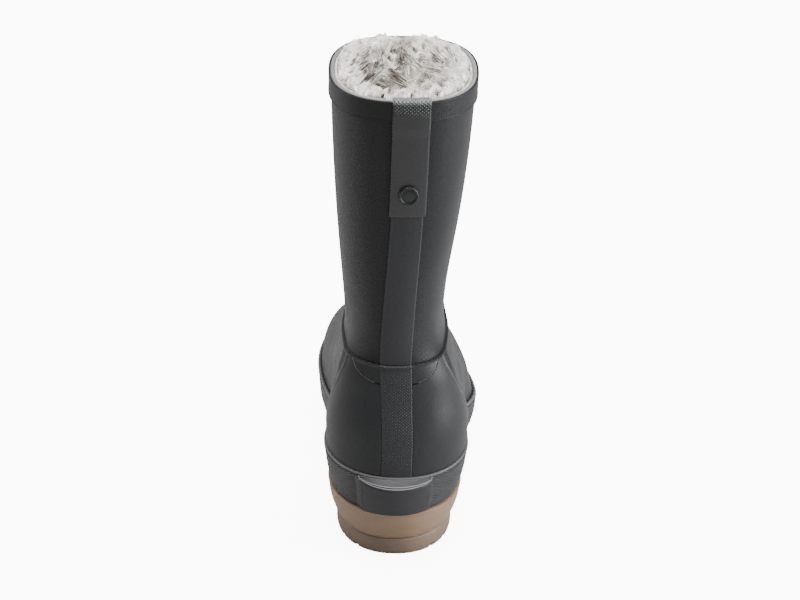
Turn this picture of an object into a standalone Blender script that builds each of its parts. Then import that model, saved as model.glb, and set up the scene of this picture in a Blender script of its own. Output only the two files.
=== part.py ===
"""A mid-calf rubber boot for the right foot, lined with deep fur, standing empty on its sole.

+Z is up and the toe points along +Y, so the outer (lateral) side is at +X.
While the forms are worked out, y runs from the back of the heel, and the boot is centred at the end.
"""

import math
import random

import bmesh
import bpy
import numpy as np

# Overall sizes, in metres
BOOT_HEIGHT = 0.330
UPPER_LENGTH = 0.279
HEEL_INSET = 0.0085
HEEL_WIDTH = 0.0935
WAIST_WIDTH = 0.090
BALL_WIDTH = 0.106
INSTEP_HEIGHT = 0.143
TOE_TIP_SWING = 0.010

# Shaft
ANKLE_HEIGHT = 0.141
ANKLE_WIDTH = 0.0665
COLLAR_WIDTH = 0.0935
COLLAR_DEPTH = 0.118
WALL = 0.0025
FOLD_STEP = 0.0012

# Sole
TREAD_HEEL = 0.013
TREAD_BALL = 0.009
MIDSOLE_HEEL = 0.0225
MIDSOLE_BALL = 0.014
TOE_SPRING = 0.009
ARCH_HEIGHT = 0.009
MIDSOLE_TAPER = 0.0056
MIDSOLE_LIP = 0.0012
TREAD_INSET = 0.0006
TREAD_ROUND = 0.0016
GROOVE_DEPTH = 0.0032
GROOVE_WIDTH = 0.0034
GROOVE_PITCH = 0.0125
GROOVE_SLANT = 0.0045
CENTRE_RIB = 0.012

# Foxing band and its kick ledge
FOXING_THICKNESS = 0.0017
FOXING_BEAD = 0.0005
FOXING_BEAD_HEIGHT = 0.0012
LEDGE_DEPTH = 0.0066
LEDGE_HALF_WIDTH = 0.0245
LEDGE_DROP = 0.0022
LEDGE_FOOT = 0.60

# Overlays
COUNTER_THICKNESS = 0.0011
COUNTER_BEAD = 0.0006
COUNTER_TIP = 0.0020
PATCH_THICKNESS = 0.0008
PATCH_REACH = 0.027
PATCH_DROP = 0.0130
STRAP_WIDTH = 0.0205
STRAP_THICKNESS = 0.0013
STRAP_LEAN = 0.0048
TAB_WIDTH = 0.0235
TAB_THICKNESS = 0.0014
TAB_DROP = 0.079
TAB_INSIDE_DROP = 0.012
TAB_BEND_FLATTEN = 0.62
NOTCH_MARGIN = 0.007
BAND_HEIGHT = 0.0135
BAND_THICKNESS = 0.0014
BUTTON_DIAMETER = 0.0130
BUTTON_HEIGHT = 0.0022
BUTTON_DROP = 0.0625
BUTTON_RIM = 0.0013
BUTTON_DISH = 0.0009

# Lining and footbed
LINING_THICKNESS = 0.0040
LINING_DEPTH = 0.165
PILE_LENGTH = 0.0125
PILE_PROUD = 0.002
PILE_DEPTH = 0.079
INSOLE_THICKNESS = 0.0045
GAP = 0.0003
FOXING_GAP = 0.0004
OVERLAY_GAP = 0.0005
PATCH_GAP = 0.0007

# Fineness
COLUMNS = 44
PILE_BANDS = 5
SEED = 7

# Each ring of the foot part runs from a back point on the heel line to a front point on the toe line.
# back_y, front_y: shares of UPPER_LENGTH. back_z, front_z: shares of the rise from sole to fold.
# heel, waist, ball: shares of those widths. outer: how full the ball's outer side is beside the inner one.
# shift: share of BALL_WIDTH. curve: how far the ring follows the sole.
FOOT_RINGS = [
    # name       back_y  back_z front_y front_z  heel  waist   ball  outer   shift  curve
    ("feather",   0.012, 0.000,  0.978,  0.000, 0.900, 0.860, 0.985, 1.00,  0.000, 1.00),
    ("bulge",     0.000, 0.115,  0.998,  0.110, 0.960, 0.925, 1.020, 1.02,  0.004, 0.92),
    ("side",     -0.007, 0.245,  0.992,  0.250, 0.995, 0.970, 1.010, 1.00,  0.004, 0.75),
    ("toe_edge", -0.004, 0.395,  0.940,  0.400, 1.000, 0.995, 0.940, 0.92,  0.006, 0.50),
    ("vamp_low",  0.003, 0.545,  0.838,  0.525, 0.975, 1.000, 0.830, 0.87,  0.006, 0.28),
    ("vamp_mid",  0.017, 0.695,  0.716,  0.645, 0.905, 0.940, 0.730, 0.90,  0.000, 0.08),
    ("instep",    0.032, 0.845,  0.612,  0.800, 0.810, 0.850, 0.650, 1.00, -0.006, 0.00),
    ("ankle",     0.043, 1.000,  0.530,  1.000, 0.725, 0.765, 0.600, 1.00, -0.018, 0.00),
]

# The shaft's rings. back_y, front_y: shares of COLLAR_DEPTH from the heel inset.
# back_z, front_z: shares of the rise from fold to collar. waist: swell from ANKLE_WIDTH to COLLAR_WIDTH.
# heel, ball: shares of that ring's own width. shift: share of COLLAR_WIDTH.
SHAFT_RINGS = [
    # name        back_y  back_z front_y front_z  waist   heel   ball   shift
    ("shaft_low",  0.098, 0.095,  1.145,  0.130,  0.02,  0.925, 0.880, -0.030),
    ("shaft_a",    0.082, 0.260,  1.065,  0.290,  0.20,  0.915, 0.885, -0.030),
    ("shaft_b",    0.052, 0.475,  1.030,  0.485,  0.52,  0.905, 0.885, -0.018),
    ("shaft_c",    0.022, 0.740,  1.012,  0.740,  0.82,  0.900, 0.885, -0.006),
    ("collar",     0.000, 1.000,  1.000,  1.000,  1.00,  0.905, 0.890,  0.000),
]
FOLD_LEVEL = float(len(FOOT_RINGS) - 1)
COLLAR_LEVEL = float(len(FOOT_RINGS) + len(SHAFT_RINGS) - 1)

# Where a ring is widest, as shares of the way from back to front
HEEL_AT = 0.20
WAIST_AT = 0.39
BALL_AT_OUTER = 0.585
BALL_AT_INNER = 0.690
BALL_AT_SHAFT = 0.700
OUTER_BALL_SHARE = 1.035
INNER_BALL_SHARE = 0.925
OUTER_WAIST_SHARE = 1.085
INNER_WAIST_SHARE = 0.975
HEEL_ROUNDNESS = 2.15
COLLAR_ROUNDNESS = 2.45
TOE_ROUNDNESS_OUTER = 1.85
TOE_ROUNDNESS_INNER = 2.35
TOE_ROUNDNESS_SHAFT = 2.05

# Underside of the tread and thickness of the layers: share of the length, then shares of the named heights.
# ground: arch and toe spring above the floor. heel_share: 1 where the heel's thickness holds, 0 at the ball.
SOLE_STATIONS = [
    # share  arch  spring heel_share
    (0.000, 0.000, 0.00, 1.00),
    (0.270, 0.000, 0.00, 1.00),
    (0.315, 1.000, 0.00, 0.93),
    (0.400, 0.800, 0.00, 0.62),
    (0.490, 0.120, 0.00, 0.28),
    (0.530, 0.000, 0.00, 0.15),
    (0.620, 0.000, 0.00, 0.00),
    (0.800, 0.000, 0.00, 0.00),
    (0.900, 0.000, 0.34, 0.00),
    (1.000, 0.000, 1.00, 0.06),
]

# Stretches of the length, as shares, that the tread's grooves cross
TREAD_RUNS = [
    # start   stop
    (0.055, 0.235),
    (0.530, 0.905),
]

# Level of the foxing's top edge round the boot, and how far the heel counter reaches at each level.
FOXING_TOP = [
    # share level
    (0.00, 2.20),
    (0.18, 2.18),
    (0.32, 1.92),
    (0.60, 1.38),
    (0.85, 1.28),
    (1.00, 1.46),
]
COUNTER_REACH = [
    # level  share of the ring
    (2.00, 0.245),
    (3.00, 0.232),
    (4.00, 0.212),
    (5.00, 0.180),
    (6.00, 0.138),
    (6.50, 0.124),
    (6.97, 0.130),
]

# The V under the fold: how far it reaches beside the strap on its way up from its lower edge.
PATCH_SHAPE = [
    # climb  share of the reach
    (0.00, 0.14),
    (0.14, 0.44),
    (0.30, 0.70),
    (0.58, 0.90),
    (1.00, 1.00),
]

# Rows of the upper behind the foxing as shares of its height, then up to the fold, then up to the collar
FOXING_ROWS = (0.28, 0.60)
LOW_ROWS = (2.70, 3.30, 3.95, 4.60, 5.25)
SHAFT_ROWS = (7.45, 8.00, 8.60, 9.30, 10.00)

RUBBER = ("dark_rubber", (0.035, 0.036, 0.040), 0.52)
GUM = ("gum_rubber", (0.300, 0.195, 0.115), 0.50)
TREAD = ("tread_rubber", (0.165, 0.115, 0.075), 0.58)
FUR = ("pale_fur", (0.780, 0.750, 0.700), 0.95)
FOOTBED = ("footbed_felt", (0.420, 0.390, 0.350), 0.95)


def ease(t):
    """A smooth step from 0 to 1."""
    t = np.clip(t, 0.0, 1.0)
    return t * t * (3.0 - 2.0 * t)


def column(table, index):
    return np.array([row[index] for row in table], float)


def along(table, index, at):
    """A table's column read between its rows."""
    return np.interp(at, column(table, 0), column(table, index))


GROUND, JOINT, TOP = range(3)


def sole_heights(share):
    """Underside of tread, joint of tread and midsole, and top of midsole, at shares of the length."""
    heel = ease(along(SOLE_STATIONS, 3, share))
    ground = ARCH_HEIGHT * along(SOLE_STATIONS, 1, share) + TOE_SPRING * along(SOLE_STATIONS, 2, share)
    tread = TREAD_BALL + (TREAD_HEEL - TREAD_BALL) * heel
    spring = TOE_SPRING * along(SOLE_STATIONS, 2, share)
    midsole = MIDSOLE_BALL + (MIDSOLE_HEEL - MIDSOLE_BALL) * heel
    return ground, tread + spring, tread + spring + midsole


def length_share(y):
    """How far along the boot a point lies, as a share of the upper's length."""
    return (y - HEEL_INSET) / UPPER_LENGTH


HEEL_SEAT = TREAD_HEEL + MIDSOLE_HEEL
TOE_SEAT = float(sole_heights(1.0)[TOP])


def ring_sizes():
    """Each ring's sizes: back and front y and z, half widths at heel, waist and ball, outer, shift, curve."""
    rows = []
    for _, back_y, back_z, front_y, front_z, heel, waist, ball, outer, shift, curve in FOOT_RINGS:
        rows.append((
            HEEL_INSET + back_y * UPPER_LENGTH,
            HEEL_SEAT + back_z * (ANKLE_HEIGHT - HEEL_SEAT),
            HEEL_INSET + front_y * UPPER_LENGTH,
            TOE_SEAT + front_z * (INSTEP_HEIGHT - TOE_SEAT),
            heel * HEEL_WIDTH / 2,
            waist * WAIST_WIDTH / 2,
            ball * BALL_WIDTH / 2,
            outer,
            shift * BALL_WIDTH,
            curve,
        ))
    for _, back_y, back_z, front_y, front_z, waist, heel, ball, shift in SHAFT_RINGS:
        half = (ANKLE_WIDTH + (COLLAR_WIDTH - ANKLE_WIDTH) * waist) / 2
        rows.append((
            HEEL_INSET + back_y * COLLAR_DEPTH,
            ANKLE_HEIGHT + back_z * (BOOT_HEIGHT - ANKLE_HEIGHT),
            HEEL_INSET + front_y * COLLAR_DEPTH,
            ANKLE_HEIGHT + front_z * (BOOT_HEIGHT - ANKLE_HEIGHT),
            heel * half,
            half,
            ball * half,
            1.0,
            shift * COLLAR_WIDTH,
            0.0,
        ))
    return np.array(rows)


def smooth_rows(rows):
    """Second derivatives of the natural cubic through rows that lie one level apart."""
    count = len(rows)
    system = np.eye(count)
    bends = np.zeros_like(rows)
    for i in range(1, count - 1):
        system[i, i - 1:i + 2] = 1.0, 4.0, 1.0
        bends[i] = 6.0 * (rows[i + 1] - 2.0 * rows[i] + rows[i - 1])
    return np.linalg.solve(system, bends)


RING_SIZES = ring_sizes()
RING_BENDS = smooth_rows(RING_SIZES)


def ring_at(level):
    """The sizes of the ring at any level, read from the smooth curves through the tables."""
    low = np.clip(np.floor(level).astype(int), 0, len(RING_SIZES) - 2)
    t = (level - low)[..., None]
    u = 1.0 - t
    bend = (RING_BENDS[low] * (u**3 - u) + RING_BENDS[low + 1] * (t**3 - t)) / 6.0
    return np.moveaxis(RING_SIZES[low] * u + RING_SIZES[low + 1] * t + bend, -1, 0)


def share_of(angle):
    """How far along its ring an angle lies: 0 at the back, 1 at the front."""
    return (1.0 - np.cos(angle)) / 2.0


def base(level, angle):
    """A point of the upper's outer face. Angle 0 is the back, a quarter turn the outer side, half the toe."""
    level, angle = np.broadcast_arrays(np.asarray(level, float), np.asarray(angle, float))
    back_y, back_z, front_y, front_z, heel, waist, ball, fullness, shift, curve = ring_at(level)
    outer = np.sin(angle) >= 0.0
    share = share_of(angle)
    upright = 1.0 - curve
    ball_at = curve * np.where(outer, BALL_AT_OUTER, BALL_AT_INNER) + upright * BALL_AT_SHAFT
    ball = ball * (curve * np.where(outer, OUTER_BALL_SHARE, INNER_BALL_SHARE) + upright)
    ball = ball * np.where(outer, fullness, 1.0)
    waist = waist * (curve * np.where(outer, OUTER_WAIST_SHARE, INNER_WAIST_SHARE) + upright)
    toe_round = curve * np.where(outer, TOE_ROUNDNESS_OUTER, TOE_ROUNDNESS_INNER)
    toe_round = toe_round + upright * TOE_ROUNDNESS_SHAFT
    collar = ease((level - FOLD_LEVEL) / (COLLAR_LEVEL - FOLD_LEVEL))
    heel_round = HEEL_ROUNDNESS + (COLLAR_ROUNDNESS - HEEL_ROUNDNESS) * collar
    half = heel + (waist - heel) * ease((share - HEEL_AT) / (WAIST_AT - HEEL_AT))
    half = half + (ball - waist) * ease((share - WAIST_AT) / (ball_at - WAIST_AT))
    to_back = np.clip(1.0 - share / HEEL_AT, 0.0, 1.0)
    to_front = np.clip((share - ball_at) / (1.0 - ball_at), 0.0, 1.0)
    half = half * (1.0 - to_back**heel_round) ** (1.0 / heel_round)
    half = half * (1.0 - to_front**toe_round) ** (1.0 / toe_round)
    oval = waist * (1.0 - np.abs(2.0 * share - 1.0) ** heel_round) ** (1.0 / heel_round)
    half = half + (oval - half) * ease((level - FOLD_LEVEL + 1.0) / 2.5)
    middle = shift - curve * TOE_TIP_SWING * ease((share - 0.50) / 0.50)
    y = back_y + (front_y - back_y) * share
    straight = back_z + (front_z - back_z) * share
    low_line = HEEL_SEAT + (TOE_SEAT - HEEL_SEAT) * share
    height = straight + curve * (sole_heights(length_share(y))[TOP] - low_line)
    return np.stack([middle + np.where(outer, 1.0, -1.0) * half, y, height], -1)


def outward(level, angle):
    """The unit normal of that face, kept level at the feather edge and at the collar."""
    step_level, step_angle = 0.02, 0.01
    above = np.minimum(level + step_level, COLLAR_LEVEL)
    below = np.maximum(level - step_level, 0.0)
    up = base(above, angle) - base(below, angle)
    round_it = base(level, angle + step_angle) - base(level, angle - step_angle)
    normal = np.cross(round_it, up)
    rise = ease(np.asarray(level, float) / 0.8) * ease((COLLAR_LEVEL - level) / 0.3)
    normal[..., 2] *= np.broadcast_to(rise, normal.shape[:-1])
    return normal / np.linalg.norm(normal, axis=-1, keepdims=True)


def fold_step(level):
    """How far the foot part's face stands outside the shaft's, under the fold."""
    return FOLD_STEP * ease((level - 5.0) / 1.5) * (level < FOLD_LEVEL)


def face(level, angle, offset):
    """A point at an offset from the upper's outer face."""
    level, angle, offset = np.broadcast_arrays(
        np.asarray(level, float), np.asarray(angle, float), np.asarray(offset, float))
    return base(level, angle) + outward(level, angle) * offset[..., None]


def level_at(height, angle=0.0):
    """The level at which the back of the boot reaches a height."""
    levels = np.linspace(0.0, COLLAR_LEVEL, 600)
    return float(np.interp(height, base(levels, angle)[:, 2], levels))


def angle_at(level, x):
    """The angle on the back half of a ring at which it lies x beside its own back point."""
    angles = np.linspace(-1.2, 1.2, 241)
    points = base(np.full_like(angles, level), angles)
    return np.interp(x, points[:, 0] - points[120, 0], angles)


ANGLES = np.arange(COLUMNS) * 2.0 * math.pi / COLUMNS
SHARES = share_of(ANGLES)
FOXING_LEVEL = along(FOXING_TOP, 1, SHARES)
TAB_LEVEL = level_at(BOOT_HEIGHT - TAB_DROP)
BAND_LEVEL = level_at(BOOT_HEIGHT - BAND_HEIGHT)
LINING_LEVEL = level_at(BOOT_HEIGHT - LINING_DEPTH)
TAB_CLEAR = max(OVERLAY_GAP + STRAP_THICKNESS, GAP + BAND_THICKNESS) + GAP
PILE_LEVEL = level_at(BOOT_HEIGHT - PILE_DEPTH)
UNDER_FOLD = FOLD_LEVEL - 0.001
PATCH_LEVEL = level_at(ANKLE_HEIGHT - PATCH_DROP)
FOOT_ROWS = LOW_ROWS + (PATCH_LEVEL, (PATCH_LEVEL + FOLD_LEVEL) / 2)
PATCH_RANGE = (PATCH_LEVEL + 0.02, UNDER_FOLD - 0.03)
PATCH_ROWS = tuple(PATCH_RANGE[0] + (PATCH_RANGE[1] - PATCH_RANGE[0]) * row[0] for row in PATCH_SHAPE)
ABOVE_FOXING = -1.0
FOXING_CLEARANCE = 0.04
FOLD_LIFT = level_at(ANKLE_HEIGHT + 2 * GAP) - FOLD_LEVEL


def upper_rows():
    """The levels of the upper's rows, each as one level for every column."""
    rows = [np.zeros(COLUMNS), *(FOXING_LEVEL * share for share in FOXING_ROWS), FOXING_LEVEL]
    levels = FOOT_ROWS + (UNDER_FOLD, FOLD_LEVEL) + SHAFT_ROWS
    levels += (TAB_LEVEL, (TAB_LEVEL + BAND_LEVEL) / 2, BAND_LEVEL, COLLAR_LEVEL)
    return rows + [np.full(COLUMNS, level) for level in levels]


def new_material(finish):
    """A finish as a Principled material, made once."""
    name, colour, roughness = finish
    material = bpy.data.materials.get(name)
    if material is None:
        material = bpy.data.materials.new(name)
        material.use_nodes = True
        shader = material.node_tree.nodes["Principled BSDF"]
        shader.inputs["Base Color"].default_value = (*colour, 1.0)
        shader.inputs["Roughness"].default_value = roughness
        shader.inputs["Metallic"].default_value = 0.0
        material.diffuse_color = (*colour, 1.0)
    return material


def add_object(name, mesh, finish):
    """Puts a mesh in the boot's collection under a name and a finish."""
    obj = bpy.data.objects.new(name, mesh)
    mesh.materials.append(new_material(finish))
    bpy.data.collections["rubber_boot"].objects.link(obj)
    return obj


def ladder(ring, crown):
    """Cross faces of a ring that is alike on both halves. A crown ring has its ends on single points."""
    count = len(ring)
    faces = []
    for k in range(count // 2 - (0 if crown else 1)):
        partner, after = ((count - k) % count, count - k - 1) if crown else (count - 1 - k, count - 2 - k)
        corners = []
        for i in (k, k + 1, after, partner):
            if ring[i] not in corners:
                corners.append(ring[i])
        faces.append(corners)
    return faces


def loft(name, rings, finish, closed, crown=True, smooth_angle=38.0):
    """A solid through rings of equal count: closed into a loop, or capped at its first and last ring."""
    shape = bmesh.new()
    verts = [[shape.verts.new(point) for point in ring] for ring in rings]
    count = len(verts[0])
    pairs = list(zip(verts, verts[1:]))
    if closed:
        pairs.append((verts[-1], verts[0]))
    for low, high in pairs:
        for i in range(count):
            j = (i + 1) % count
            shape.faces.new((low[i], low[j], high[j], high[i]))
    if not closed:
        for ring in (verts[0], verts[-1]):
            for corners in ladder(ring, crown):
                shape.faces.new(corners)
    bmesh.ops.recalc_face_normals(shape, faces=shape.faces)
    mesh = bpy.data.meshes.new(name)
    shape.to_mesh(mesh)
    shape.free()
    mesh.shade_smooth()
    mesh.set_sharp_from_angle(angle=math.radians(smooth_angle))
    return add_object(name, mesh, finish)


def sheet_solid(name, rows, angles_of, inner, outer, finish):
    """An overlay on the upper: for each row a loop along its outer face and back along its inner face."""
    loops = []
    for i, level in enumerate(rows):
        angles = angles_of(max(level, FOXING_LEVEL[0]))
        step = fold_step(level)
        place = level + FOLD_LIFT * (abs(level - FOLD_LEVEL) < 0.01)
        if level == ABOVE_FOXING:
            place = along(FOXING_TOP, 1, share_of(angles)) + FOXING_CLEARANCE
        out = face(place, angles, step + outer(i, len(angles)))
        back = face(place, angles, step + inner)[::-1]
        loops.append(np.concatenate([out, back]))
    return loft(name, loops, finish, closed=False, crown=False)


def build_upper():
    rows = upper_rows()
    outside = [face(level, ANGLES, fold_step(level)) for level in rows]
    inner_rows = [level for level in rows if abs(level[0] - UNDER_FOLD) > 1e-6]
    inside = [face(level, ANGLES, -WALL) for level in reversed(inner_rows)]
    return loft("upper", outside + inside, RUBBER, closed=True)


def feather_ring(offset, low, high, rise, lift=0.0):
    """A ring in plan, offset from the feather edge, part of the way up between two of the sole's heights."""
    ring = face(np.zeros(COLUMNS), ANGLES, offset)
    heights = sole_heights(length_share(ring[:, 1]))
    ring[:, 2] = heights[low] + (heights[high] - heights[low]) * rise + lift
    return ring


def build_midsole():
    rim = FOXING_THICKNESS + FOXING_GAP + MIDSOLE_LIP
    rings = []
    for rise, inward in ((0.0, 1.0), (0.22, 0.55), (0.50, 0.22), (0.78, 0.04), (0.93, 0.0)):
        rings.append(feather_ring(rim - MIDSOLE_TAPER * inward, JOINT, TOP, rise))
    rings.append(feather_ring(rim - MIDSOLE_LIP * 0.6, JOINT, TOP, 1.0, -GAP))
    return loft("midsole", rings, GUM, closed=False)


def groove_cutters():
    """Slanted channels across heel and forefoot, joined into one hidden cutter."""
    shape = bmesh.new()
    for start, stop in TREAD_RUNS:
        count = int((stop - start) * UPPER_LENGTH / GROOVE_PITCH)
        for i in range(count + 1):
            y = HEEL_INSET + start * UPPER_LENGTH + i * GROOVE_PITCH
            floor = float(sole_heights(length_share(y))[GROUND])
            for side in (-1.0, 1.0):
                for vert in bmesh.ops.create_cube(shape, size=1.0)["verts"]:
                    along_x = CENTRE_RIB / 2 if vert.co.x < 0 else BALL_WIDTH
                    depth = floor + GROOVE_DEPTH if vert.co.z > 0 else floor - GROOVE_DEPTH * 3
                    slant = GROOVE_SLANT * along_x / (BALL_WIDTH / 2)
                    vert.co = (side * along_x, y + vert.co.y * GROOVE_WIDTH + slant, depth)
    bmesh.ops.recalc_face_normals(shape, faces=shape.faces)
    mesh = bpy.data.meshes.new("groove_cutters")
    shape.to_mesh(mesh)
    shape.free()
    cutter = bpy.data.objects.new("groove_cutters", mesh)
    cutter.hide_render = True
    cutter.display_type = "WIRE"
    bpy.data.collections["cutters"].objects.link(cutter)
    return cutter


def build_outsole():
    side = FOXING_THICKNESS + FOXING_GAP + MIDSOLE_LIP - MIDSOLE_TAPER - TREAD_INSET
    rings = [
        feather_ring(side - TREAD_ROUND, GROUND, JOINT, 0.0),
        feather_ring(side - TREAD_ROUND / 4, GROUND, JOINT, 0.18),
        feather_ring(side, GROUND, JOINT, 0.88, -GAP),
        feather_ring(side - TREAD_ROUND / 2, GROUND, JOINT, 1.0, -GAP),
    ]
    outsole = loft("outsole", rings, TREAD, closed=False)
    cut = outsole.modifiers.new("tread_grooves", "BOOLEAN")
    cut.operation = "DIFFERENCE"
    cut.solver = "EXACT"
    cut.object = groove_cutters()
    return outsole


def ledge_swell():
    """How far the foxing swells at each column: a crescent across the back of the heel."""
    x = base(np.full(COLUMNS, 1.0), ANGLES)[:, 0]
    swell = np.where(SHARES < HEEL_AT, np.clip(1.0 - np.abs(x) / LEDGE_HALF_WIDTH, 0.0, 1.0), 0.0)
    return LEDGE_DEPTH * (1.0 - (1.0 - swell) ** 2)


def build_foxing():
    swell = ledge_swell()
    level_rise = float(base(1.0, 0.0)[2] - base(0.0, 0.0)[2])
    bottom = np.full(COLUMNS, GAP / level_rise)
    bead = FOXING_BEAD_HEIGHT / level_rise
    shelf = FOXING_LEVEL - bead - LEDGE_DROP / level_rise * (swell > 0.0)
    plain = FOXING_GAP + FOXING_THICKNESS
    outside = [
        face(bottom, ANGLES, plain + swell * LEDGE_FOOT),
        *(face(FOXING_LEVEL * share, ANGLES, plain + swell * (LEDGE_FOOT + (1.0 - LEDGE_FOOT) * share))
          for share in FOXING_ROWS),
        face(shelf, ANGLES, plain + FOXING_BEAD + swell),
        face(shelf + bead * 0.7, ANGLES, plain + FOXING_BEAD + swell * 0.97),
        face(FOXING_LEVEL, ANGLES, plain),
    ]
    back_rows = [FOXING_LEVEL, *(FOXING_LEVEL * share for share in reversed(FOXING_ROWS)), bottom]
    inside = [face(level, ANGLES, FOXING_GAP) for level in back_rows]
    return loft("foxing", outside + inside, RUBBER, closed=True)


def strap_centre(level):
    """The strap's middle beside the back point: it leans outward as it climbs the shaft."""
    return STRAP_LEAN * ease((level - FOLD_LEVEL + 1.0) / (COLLAR_LEVEL - FOLD_LEVEL))


def strap_edge(level, side):
    """Where a piece beside the strap starts: a gap away from its edge."""
    return strap_centre(level) + side * (STRAP_WIDTH / 2 + GAP)


def back_angles(width, columns):
    def angles(level):
        x = strap_centre(level) + np.linspace(-width / 2, width / 2, columns)
        return angle_at(level, x)
    return angles


def build_back_strap():
    rows = (ABOVE_FOXING,) + FOOT_ROWS + (UNDER_FOLD, FOLD_LEVEL) + SHAFT_ROWS
    rows += (TAB_LEVEL, (TAB_LEVEL + BAND_LEVEL) / 2, BAND_LEVEL - 0.01)

    def outer(_, columns):
        edge = np.zeros(columns)
        edge[1:-1] = STRAP_THICKNESS * 0.25
        return OVERLAY_GAP + STRAP_THICKNESS * 0.75 + edge

    return sheet_solid("back_strap", rows, back_angles(STRAP_WIDTH, 5), OVERLAY_GAP, outer, RUBBER)


def patch_reach(level):
    """How far the V under the fold reaches beside the middle of the heel: widest at the fold."""
    climb = (level - PATCH_RANGE[0]) / (PATCH_RANGE[1] - PATCH_RANGE[0])
    near = STRAP_WIDTH / 2 + GAP
    return near + (PATCH_REACH - near) * along(PATCH_SHAPE, 1, climb)


def build_heel_counter(side):
    """One half of the counter, from the strap's edge forward to its raised front edge."""
    rows = (ABOVE_FOXING,) + LOW_ROWS + (PATCH_LEVEL,) + PATCH_ROWS

    def angles(level):
        near = strap_edge(level, side) if level <= PATCH_LEVEL else side * (patch_reach(level) + GAP)
        start, tip = np.abs(angle_at(level, np.array([near, near + side * COUNTER_TIP])))
        reach = max(tip, math.acos(1.0 - 2.0 * along(COUNTER_REACH, 1, level)))
        return side * np.linspace(start, reach, 11)

    def outer(_, columns):
        edge = np.zeros(columns)
        edge[-2:] = COUNTER_BEAD, 0.0
        return OVERLAY_GAP + COUNTER_THICKNESS + edge

    name = "heel_counter_outer" if side > 0 else "heel_counter_inner"
    return sheet_solid(name, rows, angles, OVERLAY_GAP, outer, RUBBER)


def build_ankle_patch(side):
    """One half of the V under the fold, from the strap's edge to a point on the side."""
    def angles(level):
        return angle_at(level, np.linspace(strap_edge(level, side), side * patch_reach(level), 10))

    def outer(_, columns):
        return PATCH_GAP + PATCH_THICKNESS * np.ones(columns)

    name = "ankle_patch_outer" if side > 0 else "ankle_patch_inner"
    return sheet_solid(name, PATCH_ROWS, angles, PATCH_GAP, outer, RUBBER)


def build_collar_band():
    rows = (BAND_LEVEL, (BAND_LEVEL + COLLAR_LEVEL) / 2, COLLAR_LEVEL)
    proud = (1.0, 0.85, 0.85)
    outside = [face(level, ANGLES, GAP + BAND_THICKNESS * share) for level, share in zip(rows, proud)]
    inside = [face(level, ANGLES, GAP) for level in reversed(rows)]
    return loft("collar_band", outside + inside, RUBBER, closed=True)


def build_pull_tab():
    """A strip from inside the collar, over its rim and down the back to below the button."""
    angles = back_angles(TAB_WIDTH, 6)
    outside = (TAB_LEVEL, (TAB_LEVEL + BAND_LEVEL) / 2, BAND_LEVEL, COLLAR_LEVEL)
    inside = (COLLAR_LEVEL, level_at(BOOT_HEIGHT - TAB_INSIDE_DROP))
    loops = []
    for level in outside:
        out = face(level, angles(level), TAB_CLEAR + TAB_THICKNESS)
        back = face(level, angles(level)[::-1], TAB_CLEAR)
        loops.append(np.concatenate([out, back]))
    mid = (TAB_CLEAR - WALL - GAP) / 2
    bend = (TAB_CLEAR + WALL + GAP) / 2
    for turn in (0.25, 0.5, 0.75):
        swing = math.pi * turn
        rows = []
        for radius, order in ((bend + TAB_THICKNESS, 1), (bend, -1)):
            ring = face(COLLAR_LEVEL, angles(COLLAR_LEVEL)[::order], mid + radius * math.cos(swing))
            ring[:, 2] += radius * math.sin(swing) * TAB_BEND_FLATTEN + GAP
            rows.append(ring)
        loops.append(np.concatenate(rows))
    for level in inside:
        out = face(level, angles(level), -WALL - GAP - TAB_THICKNESS)
        back = face(level, angles(level)[::-1], -WALL - GAP)
        loops.append(np.concatenate([out, back]))
    return loft("pull_tab", loops, RUBBER, closed=False, crown=False)


def build_button():
    """A dished stud turned about its own axis, then set square on the pull tab."""
    radius = BUTTON_DIAMETER / 2
    profile = [
        (0.0, BUTTON_HEIGHT - BUTTON_DISH),
        (radius - BUTTON_RIM * 1.6, BUTTON_HEIGHT - BUTTON_DISH),
        (radius - BUTTON_RIM, BUTTON_HEIGHT),
        (radius - BUTTON_RIM * 0.35, BUTTON_HEIGHT),
        (radius, BUTTON_HEIGHT * 0.55),
        (radius, 0.0),
        (0.0, 0.0),
    ]
    mesh = bpy.data.meshes.new("button")
    edges = [(i, i + 1) for i in range(len(profile) - 1)]
    mesh.from_pydata([(x, 0.0, z) for x, z in profile], edges, [])
    button = add_object("button", mesh, RUBBER)
    turn = button.modifiers.new("turn", "SCREW")
    turn.steps = 20
    turn.render_steps = 20
    turn.use_merge_vertices = True
    turn.merge_threshold = 0.00001
    turn.use_smooth_shade = True
    level = level_at(BOOT_HEIGHT - BUTTON_DROP)
    angle = float(angle_at(level, strap_centre(level)))
    spot = face(level, angle, TAB_CLEAR + TAB_THICKNESS + 2 * GAP)
    normal = outward(np.array([level]), np.array([angle]))[0]
    button.rotation_euler = (math.atan2(math.hypot(normal[0], normal[1]), normal[2]), 0.0,
                             math.atan2(normal[0], -normal[1]))
    button.location = spot
    return button


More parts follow.
